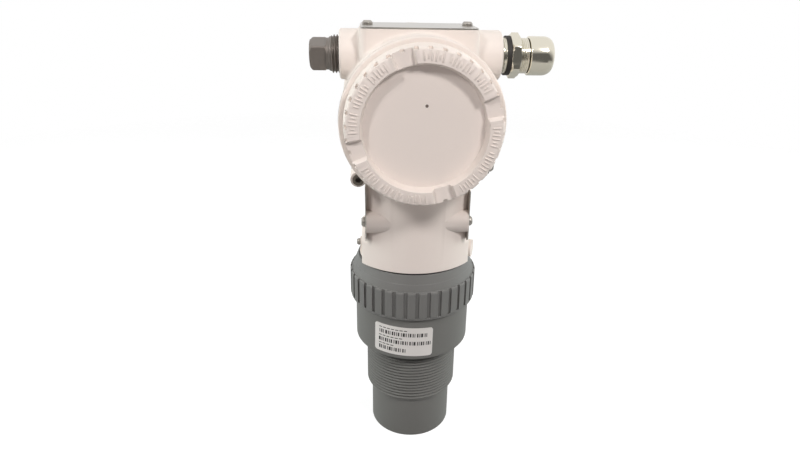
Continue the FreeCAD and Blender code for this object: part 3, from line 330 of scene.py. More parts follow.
@dataclass(frozen=True)
class Finish:
    """A surface finish: colour, gloss, grain, edges and crevices. Lengths are in millimetres."""

    name: str
    colour: Colour
    roughness: float = 0.5
    roughness_spread: float = 0.08
    metallic: float = 0.0
    specular: float = 0.5
    coat: float = 0.0
    coat_roughness: float = 0.1
    grain_scale: float = 900.0
    cloud_scale: float = 45.0
    stretch: Triple = (1.0, 1.0, 1.0)
    tone: float = 0.06
    bump: float = 0.08
    bump_depth: float = 0.05
    edge_radius: float = 0.3
    edge_gain: float = 3.0
    edge_tint: Colour = (1.0, 1.0, 1.0)
    edge_amount: float = 0.1
    crevice_reach: float = 3.0
    crevice_tint: Colour = (0.2, 0.2, 0.2)
    crevice_amount: float = 0.2

    def material(self, effects: SharedEffects) -> bpy.types.Material:
        """Build the material.

        Args:
            effects: The shared shader groups.

        Returns:
            The finished material.
        """
        made = bpy.data.materials.new(self.name)
        made.use_nodes = True
        wires = Wiring(made.node_tree)
        shader = made.node_tree.nodes["Principled BSDF"]
        place = wires.add("ShaderNodeTexCoord")
        spread = wires.add("ShaderNodeMapping", Vector=place.outputs["Object"])
        spread.inputs["Scale"].default_value = self.stretch

        grain = wires.group(effects.grain)
        wires.feed(grain.inputs["Vector"], spread.outputs[0])
        grain.inputs["Scale"].default_value = self.grain_scale
        grain.inputs["Cloud Scale"].default_value = self.cloud_scale
        edges = wires.group(effects.edges)
        edges.inputs["Radius"].default_value = self.edge_radius * MM
        edges.inputs["Gain"].default_value = self.edge_gain
        crevices = wires.group(effects.crevices)
        crevices.inputs["Reach"].default_value = self.crevice_reach * MM

        darker = tuple(c * (1.0 - self.tone) for c in self.colour)
        lighter = tuple(min(1.0, c * (1.0 + self.tone)) for c in self.colour)
        colour = wires.mix(grain.outputs["Tone"], darker, lighter)
        # Lighten the edges that the edge mask finds: edge wear and painted highlight.
        wear_and_painted_highlight = wires.math("MULTIPLY", edges.outputs["Mask"], self.edge_amount)
        colour = wires.mix(wear_and_painted_highlight, colour, self.edge_tint)
        # Darken the crevices that the occlusion mask finds: dust and painted shade.
        dust_and_painted_shade = wires.math("MULTIPLY", crevices.outputs["Mask"], self.crevice_amount)
        colour = wires.mix(dust_and_painted_shade, colour, self.crevice_tint)
        wires.feed(shader.inputs["Base Color"], colour)

        centred = wires.math("SUBTRACT", grain.outputs["Tone"], 0.5)
        swing = wires.math("MULTIPLY", centred, self.roughness_spread * 2.0)
        roughness = wires.math("ADD", swing, self.roughness, clamp=True)
        wires.feed(shader.inputs["Roughness"], roughness)
        shader.inputs["Metallic"].default_value = self.metallic
        shader.inputs["Specular IOR Level"].default_value = self.specular
        shader.inputs["Coat Weight"].default_value = self.coat
        shader.inputs["Coat Roughness"].default_value = self.coat_roughness
        relief = wires.add(
            "ShaderNodeBump", Strength=self.bump, Distance=self.bump_depth * MM,
            Height=grain.outputs["Height"], Normal=edges.outputs["Normal"])
        wires.feed(shader.inputs["Normal"], relief.outputs[0])
        return made


# Finishes of the real object

PAINT = Finish(
    "cream_paint", linear(238, 228, 221), roughness=0.52, roughness_spread=0.06, specular=0.28,
    grain_scale=520.0, cloud_scale=28.0, tone=0.018, bump=0.10, bump_depth=0.06,
    edge_radius=0.45, edge_tint=linear(250, 247, 240), edge_amount=0.35,
    crevice_reach=2.2, crevice_tint=linear(150, 138, 128), crevice_amount=0.22)
PLASTIC = Finish(
    "grey_plastic", linear(114, 114, 111), roughness=0.46, roughness_spread=0.08, specular=0.42,
    grain_scale=700.0, cloud_scale=36.0, tone=0.045, bump=0.06, bump_depth=0.04,
    edge_radius=0.35, edge_tint=linear(150, 150, 147), edge_amount=0.55,
    crevice_reach=2.0, crevice_tint=linear(58, 57, 54), crevice_amount=0.5)
NUT_PLASTIC = Finish(
    "nut_plastic", linear(115, 115, 113), roughness=0.40, roughness_spread=0.08, specular=0.45,
    grain_scale=650.0, cloud_scale=40.0, tone=0.04, bump=0.07, bump_depth=0.05,
    edge_radius=0.5, edge_tint=linear(156, 156, 154), edge_amount=0.6,
    crevice_reach=2.4, crevice_tint=linear(56, 55, 52), crevice_amount=0.4)
PAPER = Finish(
    "sticker_film", linear(226, 223, 220), roughness=0.38, specular=0.45,
    grain_scale=1500.0, cloud_scale=60.0, tone=0.02, bump=0.03,
    edge_radius=0.1, edge_amount=0.1, crevice_amount=0.1)
PRINT = Finish(
    "sticker_print", linear(62, 60, 60), roughness=0.5, specular=0.35,
    grain_scale=1500.0, tone=0.08, bump=0.02,
    edge_radius=0.05, edge_amount=0.05, crevice_amount=0.0)
STEEL = Finish(
    "satin_steel", linear(196, 192, 186), roughness=0.30, roughness_spread=0.10, metallic=1.0,
    grain_scale=420.0, cloud_scale=60.0, stretch=(0.06, 1.0, 1.0), tone=0.07,
    bump=0.05, bump_depth=0.03,
    edge_radius=0.2, edge_tint=linear(236, 234, 230), edge_amount=0.4,
    crevice_reach=1.2, crevice_tint=linear(60, 56, 52), crevice_amount=0.25)
SCREW_STEEL = Finish(
    "screw_steel", linear(176, 171, 164), roughness=0.32, roughness_spread=0.12, metallic=1.0,
    grain_scale=1400.0, cloud_scale=160.0, tone=0.10, bump=0.06, bump_depth=0.03,
    edge_radius=0.2, edge_tint=linear(230, 228, 224), edge_amount=0.5,
    crevice_reach=1.0, crevice_tint=linear(48, 44, 40), crevice_amount=0.75)
LOCK_STEEL = Finish(
    "blackened_steel", linear(112, 106, 96), roughness=0.5, roughness_spread=0.1, metallic=0.5,
    grain_scale=900.0, tone=0.1, bump=0.1,
    edge_radius=0.2, edge_tint=linear(120, 114, 108), edge_amount=0.4,
    crevice_tint=linear(24, 22, 20), crevice_amount=0.7)
PLUG_STEEL = Finish(
    "dark_plug_steel", linear(126, 119, 113), roughness=0.42, roughness_spread=0.12, metallic=0.6,
    grain_scale=600.0, cloud_scale=90.0, tone=0.14, bump=0.12, bump_depth=0.05,
    edge_radius=0.3, edge_tint=linear(172, 162, 152), edge_amount=0.6,
    crevice_reach=1.4, crevice_tint=linear(46, 40, 36), crevice_amount=0.7)
NICKEL = Finish(
    "bright_nickel", linear(226, 220, 204), roughness=0.13, roughness_spread=0.06, metallic=1.0,
    grain_scale=800.0, cloud_scale=120.0, tone=0.05, bump=0.02, bump_depth=0.02,
    edge_radius=0.25, edge_tint=linear(246, 243, 234), edge_amount=0.4,
    crevice_reach=1.2, crevice_tint=linear(96, 86, 66), crevice_amount=0.55)
RUBBER = Finish(
    "black_rubber", linear(44, 41, 38), roughness=0.6, specular=0.35,
    grain_scale=1100.0, tone=0.10, bump=0.10,
    edge_radius=0.2, edge_tint=linear(80, 76, 72), edge_amount=0.4, crevice_amount=0.3)
NYLON = Finish(
    "moulded_nylon", linear(214, 211, 200), roughness=0.45, grain_scale=900.0, tone=0.03,
    edge_amount=0.2)
EPOXY = Finish(
    "cast_epoxy", linear(140, 128, 106), roughness=0.25, coat=0.3, grain_scale=500.0, tone=0.08,
    edge_amount=0.1)
CERAMIC = Finish(
    "fired_ceramic", linear(190, 184, 170), roughness=0.55, grain_scale=1600.0, tone=0.05,
    bump=0.15)
CORK = Finish(
    "cut_cork", linear(176, 138, 96), roughness=0.85, specular=0.2,
    grain_scale=420.0, cloud_scale=160.0, tone=0.28, bump=0.5, bump_depth=0.2)
BOARD = Finish(
    "coated_board", linear(34, 104, 62), roughness=0.3, coat=0.4,
    grain_scale=1600.0, cloud_scale=220.0, tone=0.16,
    edge_tint=linear(190, 180, 120), edge_amount=0.3)
DARK_PLASTIC = Finish(
    "dark_plastic", linear(46, 46, 48), roughness=0.5, grain_scale=1200.0, tone=0.08, bump=0.15,
    edge_radius=0.25, edge_tint=linear(84, 84, 86), edge_amount=0.5)
BRASS = Finish(
    "turned_brass", linear(208, 176, 110), roughness=0.26, metallic=1.0,
    grain_scale=900.0, stretch=(1.0, 1.0, 0.1), tone=0.08,
    edge_tint=linear(240, 216, 160), edge_amount=0.4, crevice_tint=linear(80, 60, 30))
SLEEVE = Finish(
    "capacitor_sleeve", linear(44, 52, 92), roughness=0.25, coat=0.5, grain_scale=900.0,
    tone=0.06)
MARK = Finish(
    "dark_dimple", linear(116, 104, 97), roughness=0.7, specular=0.2, grain_scale=900.0,
    tone=0.1, crevice_amount=0.4)

# Solids that keep their own mesh, by finish
NODE_FINISHES: dict[Finish, tuple[str, ...]] = {
    PAINT: ("housing", "front_cover", "rear_cover"),
    NUT_PLASTIC: ("union_nut",),
    STEEL: ("top_plate", "left_side_plate", "right_side_plate", "ground_washer"),
    SCREW_STEEL: (
        "top_plate_screws", "side_plate_screws", "rotation_lock_screw", "ground_screw",
        "terminal_screws", "terminal_block_screws", "inner_ground_screw", "board_screws"),
    LOCK_STEEL: ("front_lock_screw", "rear_lock_screw"),
    RUBBER: (
        "gland_seal_ring", "gland_insert", "union_gasket", "front_cover_seal",
        "rear_cover_seal", "sensor_lead"),
    NYLON: ("gland_claw", "gland_slip_washer", "lead_plug", "sensor_socket", "board_header"),
    EPOXY: ("matching_layer", "backing_block"),
    CERAMIC: ("piezo_disc",),
    CORK: ("isolation_ring",),
    BOARD: ("main_board", "power_board", "socket_board"),
    DARK_PLASTIC: ("terminal_block", "board_transformer", "feedthrough"),
    BRASS: ("terminal_clamps", "board_spacers", "temperature_probe"),
    SLEEVE: ("board_capacitors",),
}


class Paintbox:
    """The materials of the finishes, each made once."""

    def __init__(self) -> None:
        """Make the shared groups and start with no material."""
        self.effects = SharedEffects.build()
        self.made: dict[str, bpy.types.Material] = {}

    def of(self, finish: Finish) -> bpy.types.Material:
        """Look up a finish, and make its material the first time.

        Args:
            finish: The finish.

        Returns:
            Its material.
        """
        if finish.name not in self.made:
            self.made[finish.name] = finish.material(self.effects)
        return self.made[finish.name]

    def dress(self, item: bpy.types.Object, finish: Finish) -> None:
        """Give a whole object one finish."""
        item.data.materials.clear()
        item.data.materials.append(self.of(finish))


# Modelling helpers

def lathe(shape: bmesh.types.BMesh, profile: Iterable[Point], steps: int) -> None:
    """Turn a profile about the local Z axis.

    Args:
        shape: Where the turned faces go.
        profile: Radius and height of each corner, in millimetres.
        steps: How many faces go round.
    """
    corners = [shape.verts.new((radius * MM, 0.0, height * MM)) for radius, height in profile]
    lines = [shape.edges.new(pair) for pair in zip(corners, corners[1:])]
    bmesh.ops.spin(
        shape, geom=corners + lines, cent=(0, 0, 0), axis=(0, 0, 1), dvec=(0, 0, 0),
        angle=FULL_TURN, steps=steps, use_merge=True, use_duplicate=False)
    bmesh.ops.remove_doubles(shape, verts=shape.verts, dist=WELD)


def arc(centre: Point, radii: Point, start: float, end: float, count: int) -> list[Point]:
    """Find points on a quarter of an ellipse or part of it.

    Args:
        centre: Radius and height of its centre.
        radii: Half its size along the radius and along the height.
        start: First angle in degrees, 0 being outwards.
        end: Last angle in degrees.
        count: How many points there are.

    Returns:
        The points in order.
    """
    angles = [math.radians(start + (end - start) * i / (count - 1)) for i in range(count)]
    return [(centre[0] + radii[0] * math.cos(a), centre[1] + radii[1] * math.sin(a))
            for a in angles]


def soften(shape: bmesh.types.BMesh, width: float, angle: float) -> None:
    """Bevel every edge that is sharper than an angle.

    Args:
        shape: The mesh.
        width: Width of the bevel in millimetres.
        angle: The least angle between two faces, in degrees.
    """
    bmesh.ops.recalc_face_normals(shape, faces=shape.faces)
    least = math.radians(angle)
    sharp = [edge for edge in shape.edges
             if len(edge.link_faces) == 2 and edge.calc_face_angle(0.0) > least]
    bmesh.ops.bevel(
        shape, geom=sharp, offset=width * MM, offset_type="OFFSET", affect="EDGES",
        segments=SOFT_SEGMENTS, profile=0.5, material=-1, clamp_overlap=True)


def cut_flats(shape: bmesh.types.BMesh, count: int, apothem: float, low: float, high: float,
              phase: float) -> None:
    """Press evenly spaced flats into a turned shape.

    Args:
        shape: A shape turned about local Z.
        count: How many flats there are.
        apothem: Distance from the axis to a flat, in millimetres.
        low: Where the flats start along the axis, in millimetres.
        high: Where they end.
        phase: Angle of the first flat's middle, in degrees.
    """
    step = FULL_TURN / count
    for vert in shape.verts:
        if not low * MM - FLAT_SLACK <= vert.co.z <= high * MM + FLAT_SLACK:
            continue
        radius = math.hypot(vert.co.x, vert.co.y)
        turn = math.atan2(vert.co.y, vert.co.x) - math.radians(phase)
        off = turn - step * round(turn / step)
        limit = apothem * MM / math.cos(off)
        if radius > limit:
            vert.co.x *= limit / radius
            vert.co.y *= limit / radius


@dataclass
class ThreadRidge:
    """A helical ridge round local Z that rises from the core and runs out at both ends.

    Lengths are in millimetres. The shares are parts of half the pitch.
    """

    crest: float
    core: float
    pitch: float
    low: float
    high: float
    steps: int = 72
    run_out: float = 0.6
    sink: float = 0.25
    foot_share: float = 0.98
    flank_share: float = 0.80
    crest_share: float = 0.16

    def build(self) -> bmesh.types.BMesh:
        """Sweep the ridge's section along its helix.

        Returns:
            A closed ridge in metres.
        """
        shape = bmesh.new()
        base = self.core - self.sink
        half = self.pitch / 2.0
        section = [
            (base, -half * self.foot_share), (self.core, -half * self.flank_share),
            (self.crest, -half * self.crest_share), (self.crest, half * self.crest_share),
            (self.core, half * self.flank_share), (base, half * self.foot_share)]
        corners = [shape.verts.new((r * MM, 0.0, (self.low + z) * MM)) for r, z in section]
        face = shape.faces.new(corners)
        turns = (self.high - self.low) / self.pitch
        count = int(turns * self.steps)
        bmesh.ops.spin(
            shape, geom=[*corners, *face.edges, face], cent=(0, 0, 0), axis=(0, 0, 1),
            dvec=(0, 0, self.pitch * MM / self.steps), angle=FULL_TURN * count / self.steps,
            steps=count, use_merge=False, use_duplicate=False)
        bmesh.ops.remove_doubles(shape, verts=shape.verts, dist=WELD)
        length = count * self.pitch / self.steps
        for vert in shape.verts:
            radius = math.hypot(vert.co.x, vert.co.y)
            along = (vert.co.z / MM - self.low) / length
            rise = smooth_step(min(along, 1.0 - along) * turns / self.run_out)
            wanted = base * MM + (radius - base * MM) * rise
            vert.co.x *= wanted / radius
            vert.co.y *= wanted / radius
        return shape


def join(shape: bmesh.types.BMesh, other: bmesh.types.BMesh) -> None:
    """Add a second mesh to a first one, and free the second.

    Args:
        shape: The mesh that grows.
        other: The mesh that is added and freed.
    """
    passing = bpy.data.meshes.new("passing")
    bmesh.ops.recalc_face_normals(other, faces=other.faces)
    other.to_mesh(passing)
    other.free()
    shape.from_mesh(passing)
    bpy.data.meshes.remove(passing)


@dataclass
class PieceMaker:
    """Turns finished meshes into pieces that ride on the frame. Its angle is in degrees."""

    paints: Paintbox
    sharp_angle: float = 32.0

    def make(self, name: str, shape: bmesh.types.BMesh, body: str, finish: Finish, slot: Slot,
             replaced: tuple[str, ...] = ()) -> None:
        """Finish one piece.

        Args:
            name: The piece's name.
            shape: Its mesh in the frame, in metres. It is freed.
            body: The body that carries it.
            finish: Its finish.
            slot: The record's slot for that finish. Not used.
            replaced: Nodes that it stands for.
        """
        bmesh.ops.remove_doubles(shape, verts=shape.verts, dist=WELD)
        bmesh.ops.recalc_face_normals(shape, faces=shape.faces)
        for face in shape.faces:
            face.smooth = True
        mesh = bpy.data.meshes.new(name)
        shape.to_mesh(mesh)
        shape.free()
        mesh.set_sharp_from_angle(angle=math.radians(self.sharp_angle))
        piece = bpy.data.objects.new(name, mesh)
        bpy.context.scene.collection.objects.link(piece)
        self.paints.dress(piece, finish)
        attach(piece, body)
        if replaced:
            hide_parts(*replaced)
        LOG.info("piece %s rides %s with %d faces", name, body, len(mesh.polygons))


@dataclass
class SmoothShading:
    """A modifier that welds a node's triangles and smooths them up to an angle.

    The angle is in degrees, and the distance that is welded is in millimetres.
    """

    angle: float = 24.0
    weld: float = 0.002

    def __post_init__(self) -> None:
        """Build the geometry group once."""
        tree = bpy.data.node_groups.new("smooth_to_angle", "GeometryNodeTree")
        for way in ("INPUT", "OUTPUT"):
            tree.interface.new_socket(
                name="Geometry", in_out=way, socket_type="NodeSocketGeometry")
        wires = Wiring(tree)
        given = wires.add("NodeGroupInput")
        welded = wires.add(
            "GeometryNodeMergeByDistance", Geometry=given.outputs[0], Distance=self.weld * MM)
        bend = wires.add("GeometryNodeInputMeshEdgeAngle")
        gentle = wires.add("FunctionNodeCompare")
        gentle.data_type = "FLOAT"
        gentle.operation = "LESS_THAN"
        wires.feed(gentle.inputs[0], bend.outputs[0])
        gentle.inputs[1].default_value = math.radians(self.angle)
        faces = wires.add("GeometryNodeSetShadeSmooth", Geometry=welded.outputs[0])
        faces.domain = "FACE"
        edges = wires.add("GeometryNodeSetShadeSmooth")
        edges.domain = "EDGE"
        wires.feed(edges.inputs["Geometry"], faces.outputs[0])
        wires.feed(edges.inputs["Shade Smooth"], gentle.outputs[0])
        wires.add("NodeGroupOutput", Geometry=edges.outputs[0])
        self.tree = tree

    def apply(self, item: bpy.types.Object) -> None:
        """Add the modifier to a node."""
        item.modifiers.new("smooth_to_angle", "NODES").node_group = self.tree


# Sub-assemblies

@dataclass
class SensorBody:
    """The plastic sensor with its nose, pipe thread and bore. Sizes are in millimetres."""

    maker: PieceMaker
    nose_radius: float = 26.5
    nose_round: float = 1.0
    nose_length: float = 30.8
    thread_crest: float = 29.8
    thread_core: float = 28.6
    thread_lead: float = 0.6
    thread_pitch: float = 2.225
    thread_band: float = 2.0
    body_bottom: float = 69.0
    body_radius: float = 36.65
    body_round: float = 1.0
    body_top: float = 98.4
    union_radius: float = 36.4
    top: float = 117.8
    groove_outer: float = 33.75
    groove_inner: float = 30.45
    groove_floor: float = 115.4
    upper_bore: float = 27.8
    bore_step: float = 76.0
    nose_bore: float = 22.5
    face_wall: float = 3.0
    round_points: int = 5
    steps: int = 192
    thread_steps: int = 96

    def build_shell(self) -> None:
        """Turn the body and wind its pipe thread."""
        shape = bmesh.new()
        nose_turn = arc(
            (self.nose_radius - self.nose_round, self.nose_round),
            (self.nose_round, self.nose_round), -90.0, 0.0, self.round_points)
        band_start = self.body_bottom - self.thread_band
        lower_turn = arc(
            (self.body_radius - self.body_round, self.body_bottom + self.body_round),
            (self.body_round, self.body_round), -90.0, 0.0, self.round_points)
        lathe(shape, [
            (0.0, 0.0), *nose_turn,
            (self.nose_radius, self.nose_length),
            (self.thread_core - self.thread_lead, self.nose_length),
            (self.thread_core, self.nose_length + self.thread_lead),
            (self.thread_core, band_start), (self.thread_crest, band_start),
            (self.thread_crest, self.body_bottom), *lower_turn,
            (self.body_radius, self.body_top), (self.union_radius, self.body_top),
            (self.union_radius, self.top), (self.groove_outer, self.top),
            (self.groove_outer, self.groove_floor), (self.groove_inner, self.groove_floor),
            (self.groove_inner, self.top), (self.upper_bore, self.top),
            (self.upper_bore, self.bore_step), (self.nose_bore, self.bore_step),
            (self.nose_bore, self.face_wall), (0.0, self.face_wall)], steps=self.steps)
        half = self.thread_pitch / 2.0
        ridge = ThreadRidge(
            self.thread_crest, self.thread_core, self.thread_pitch,
            self.nose_length + half, band_start + half, steps=self.thread_steps)
        join(shape, ridge.build())
        self.maker.make(
            "sensor_shell", shape, "sensor", PLASTIC, Slot.PLASTIC, ("transducer_body",))


@dataclass
class GapShadeRing:
    """A dark ring in the gap between the collar and the union nut, painted shade where the gap lies
    in shadow. Sizes are in millimetres.
    """

    maker: PieceMaker
    inner: float = 33.6
    outer: float = 34.1
    bottom: float = 126.5
    top: float = 127.95
    steps: int = 144

    def build(self) -> None:
        """Turn the ring."""
        shape = bmesh.new()
        lathe(shape, [
            (self.inner, self.bottom), (self.outer, self.bottom), (self.outer, self.top),
            (self.inner, self.top), (self.inner, self.bottom)], steps=self.steps)
        # The ring is painted shade in the gap, dressed in the rubber finish.
        self.maker.make("neck_ring", shape, "housing", RUBBER, Slot.RUBBER)


@dataclass
class Sticker:
    """The sticker round the sensor body, with rows of plain printed bars.

    Sizes are in millimetres. A row or rule has its lower side, its left end and its right end.
    """

    maker: PieceMaker
    radius: float = 36.65
    thickness: float = 0.25
    middle_angle: float = -103.0
    tilt: float = -0.9
    width_angle: float = 58.5
    bottom: float = 72.0
    height: float = 20.0
    corner: float = 1.8
    corner_segments: int = 6
    columns: int = 36
    ink: float = 0.03
    bar_height: float = 2.6
    rows: tuple[Triple, ...] = ((13.6, 3.4, 33.4), (7.8, 3.0, 35.8), (2.2, 3.2, 21.0))
    row_shift: int = 3
    bar_widths: tuple[float, ...] = (0.5, 0.9, 0.5, 1.3, 0.6, 0.5, 1.0, 0.7)
    bar_gaps: tuple[float, ...] = (0.7, 0.5, 1.0, 0.6, 0.5, 0.9, 0.5)
    rules: tuple[Triple, ...] = ((17.4, 3.2, 20.0), (11.6, 3.0, 18.6), (5.9, 3.0, 13.4))
    rule_width: float = 2.0
    rule_height: float = 0.55
    rule_pitch: float = 2.7

    def width(self) -> float:
        """The sticker's width laid flat, in metres."""
        return math.radians(self.width_angle) * self.radius * MM

    def wrap(self, shape: bmesh.types.BMesh, lift: float) -> None:
        """Tilt a flat mesh a little and bend it round the body.

        Args:
            shape: A mesh whose X runs along the width, Y up and Z outwards.
            lift: How far it lies out from the body, in millimetres.
        """
        start = math.radians(self.middle_angle - self.width_angle / 2.0)
        bmesh.ops.rotate(
            shape, cent=(self.width() / 2.0, self.height * MM / 2.0, 0.0),
            matrix=Matrix.Rotation(math.radians(self.tilt), 3, "Z"), verts=shape.verts)
        for vert in shape.verts:
            angle = start + math.radians(self.width_angle) * vert.co.x / self.width()
            reach = (self.radius + lift) * MM + vert.co.z
            vert.co = Vector((reach * math.cos(angle), reach * math.sin(angle),
                              self.bottom * MM + vert.co.y))

    def build_sheet(self) -> None:
        """Cut the film with round corners and bend it round the body."""
        width = self.width()
        shape = bmesh.new()
        bmesh.ops.create_grid(shape, x_segments=1, y_segments=1, size=0.5)
        bmesh.ops.scale(shape, vec=(width, self.height * MM, 1.0), verts=shape.verts)
        bmesh.ops.translate(
            shape, vec=(width / 2.0, self.height * MM / 2.0, 0.0), verts=shape.verts)
        bmesh.ops.bevel(
            shape, geom=shape.verts[:], offset=self.corner * MM, offset_type="OFFSET",
            affect="VERTICES", segments=self.corner_segments, profile=0.5, material=-1,
            clamp_overlap=True)
        for column in range(1, self.columns):
            bmesh.ops.bisect_plane(
                shape, geom=[*shape.verts, *shape.edges, *shape.faces],
                plane_co=(width * column / self.columns, 0.0, 0.0), plane_no=(1.0, 0.0, 0.0))
        bmesh.ops.recalc_face_normals(shape, faces=shape.faces)
        bmesh.ops.solidify(shape, geom=shape.faces[:], thickness=self.thickness * MM)
        low = min(v.co.z for v in shape.verts)
        bmesh.ops.translate(shape, vec=(0.0, 0.0, -low), verts=shape.verts)
        self.wrap(shape, 0.0)
        self.maker.make(
            "sensor_sticker", shape, "sensor", PAPER, Slot.LABEL, ("sensor_label",))

    def add_bar(self, shape: bmesh.types.BMesh, left: float, low: float, width: float,
                height: float) -> None:
        """Add one bar of print.

        Args:
            shape: Where it goes.
            left: Its left side along the width, in millimetres.
            low: Its lower side above the sticker's, in millimetres.
            width: Its width.
            height: Its height.
        """
        size = Matrix.Diagonal((width * MM, height * MM, self.ink * MM * 2.0, 1.0))
        place = Matrix.Translation(((left + width / 2.0) * MM, (low + height / 2.0) * MM, 0.0))
        bmesh.ops.create_cube(shape, size=1.0, matrix=place @ size)

    def build_print(self) -> None:
        """Print the rows of bars and the short rules over them."""
        shape = bmesh.new()
        for row, (low, left, right) in enumerate(self.rows):
            at = left
            count = row * self.row_shift
            while at < right:
                bar = self.bar_widths[count % len(self.bar_widths)]
                self.add_bar(shape, at, low, bar, self.bar_height)
                at += bar + self.bar_gaps[count % len(self.bar_gaps)]
                count += 1
        for low, left, right in self.rules:
            at = left
            while at < right:
                self.add_bar(shape, at, low, self.rule_width, self.rule_height)
                at += self.rule_pitch
        self.wrap(shape, self.thickness)
        self.maker.make("sticker_bars", shape, "sensor", PRINT, Slot.LABEL)


@dataclass
class CoverMarks:
    """Raised plain dashes on a cover's rim and the dimple in its disc.

    Sizes are in millimetres and angles in degrees. The dimple's profile has a share of its radius
    and a height at each corner.
    """

    maker: PieceMaker
    body: str
    facing: Facing
    turn: float
    axis_height: float = 219.5
    rim_station: float = 60.0
    arcs: int = 4
    inner: float = 33.5
    outer: float = 37.7
    width: float = 0.8
    rise: float = 0.35
    sink: float = 0.25
    edge_round: float = 0.22
    edge_angle: float = 28.0
    first: float = 15.5
    pitch: float = 2.95
    per_arc: int = 21
    skipped: tuple[int, ...] = (6, 14)
    short_share: float = 0.62
    short_every: int = 3
    disc_station: float = 54.6
    dimple_side: float = 1.0
    dimple_rise: float = 11.1
    dimple_radius: float = 0.72
    dimple_profile: tuple[Point, ...] = (
        (0.0, 0.02), (0.6, 0.03), (1.0, 0.06), (1.15, 0.0), (1.0, -0.2), (0.0, -0.2))
    dimple_steps: int = 24

    def place(self) -> Matrix:
        """Where the cover's own axes lie in the frame."""
        return Matrix.Translation((0.0, 0.0, self.axis_height * MM)) @ self.facing.turn()

    def build_dashes(self) -> None:
        """Set the dashes round the arcs of the rim."""
        shape = bmesh.new()
        length = self.outer - self.inner
        middle = (self.inner + self.outer) / 2.0
        station = self.rim_station + (self.rise - self.sink) / 2.0
        shift = Matrix.Translation((middle * MM, 0.0, station * MM))
        for quarter in range(self.arcs):
            for index in range(self.per_arc):
                if index in self.skipped:
                    continue
                share = self.short_share if index % self.short_every == 1 else 1.0
                angle = math.radians(
                    self.turn + quarter * 360.0 / self.arcs + self.first + index * self.pitch)
                size = Matrix.Diagonal(
                    (length * share * MM, self.width * MM, (self.rise + self.sink) * MM, 1.0))
                spot = Matrix.Rotation(angle, 4, "Z") @ shift
                bmesh.ops.create_cube(shape, size=1.0, matrix=spot @ size)
        soften(shape, self.edge_round, self.edge_angle)
        shape.transform(self.place())
        self.maker.make(f"{self.body}_dashes", shape, self.body, PAINT, Slot.PAINT)

    def build_dimple(self) -> None:
        """Set the small dimple above the middle of the disc."""
        shape = bmesh.new()
        lathe(shape, [(self.dimple_radius * share, height)
                      for share, height in self.dimple_profile], steps=self.dimple_steps)
        shape.transform(Matrix.Translation(
            (self.dimple_side * MM, self.dimple_rise * MM, self.disc_station * MM)))
        shape.transform(self.place())
        self.maker.make(f"{self.body}_dimple", shape, self.body, MARK, Slot.PAINT)


@dataclass
class PipePlug:
    """The square-head plug in the left hub. Heights run out along its axis, in millimetres.

    The head's end has at each corner how far in it lies from the square's corner and how far
    short of the end.
    """

    maker: PieceMaker
    base: float = -31.2
    axis_height: float = 248.5
    steps: int = 160
    crest: float = 10.4
    core: float = 9.35
    pitch: float = 1.7
    lead: float = 0.8
    thread_start: float = 1.2
    thread_gap: float = 0.9
    thread_run_out: float = 0.5
    face: float = 17.8
    face_chamfer: Point = (0.5, 0.6)
    neck_radius: float = 8.6
    neck_fillet: float = 0.2
    head_start: float = 19.4
    head_chamfer: float = 0.5
    head_end: tuple[Point, ...] = ((0.0, 1.8), (0.6, 1.1), (1.9, 0.15), (2.6, 0.0))
    end: float = 28.4
    corner: float = 9.5
    sides: int = 4
    square: float = 14.0
    square_margin: float = 0.1
    turn: float = -17.0
    edge_round: float = 0.35
    edge_angle: float = 24.0

    def build(self) -> None:
        """Turn the plug, press its square and wind its thread."""
        shape = bmesh.new()
        chamfer_depth, chamfer_length = self.face_chamfer
        lathe(shape, [
            (0.0, 0.0), (self.core - self.lead, 0.0), (self.core, self.lead),
            (self.core, self.face - chamfer_length), (self.core - chamfer_depth, self.face),
            (self.neck_radius, self.face + self.neck_fillet),
            (self.neck_radius, self.head_start - self.neck_fillet),
            (self.corner - self.head_chamfer, self.head_start),
            (self.corner, self.head_start + self.head_chamfer),
            *((self.corner - inset, self.end - short) for inset, short in self.head_end),
            (0.0, self.end)], steps=self.steps)
        cut_flats(shape, self.sides, self.square / 2.0, self.head_start - self.square_margin,
                  self.end, self.turn)
        soften(shape, self.edge_round, self.edge_angle)
        ridge = ThreadRidge(
            self.crest, self.core, self.pitch, self.thread_start, self.face - self.thread_gap,
            run_out=self.thread_run_out)
        join(shape, ridge.build())
        place = Matrix.Translation((self.base * MM, 0.0, self.axis_height * MM))
        shape.transform(place @ Facing.LEFT.turn())
        self.maker.make(
            "pipe_plug", shape, "housing", PLUG_STEEL, Slot.PLUG, ("conduit_plug",))


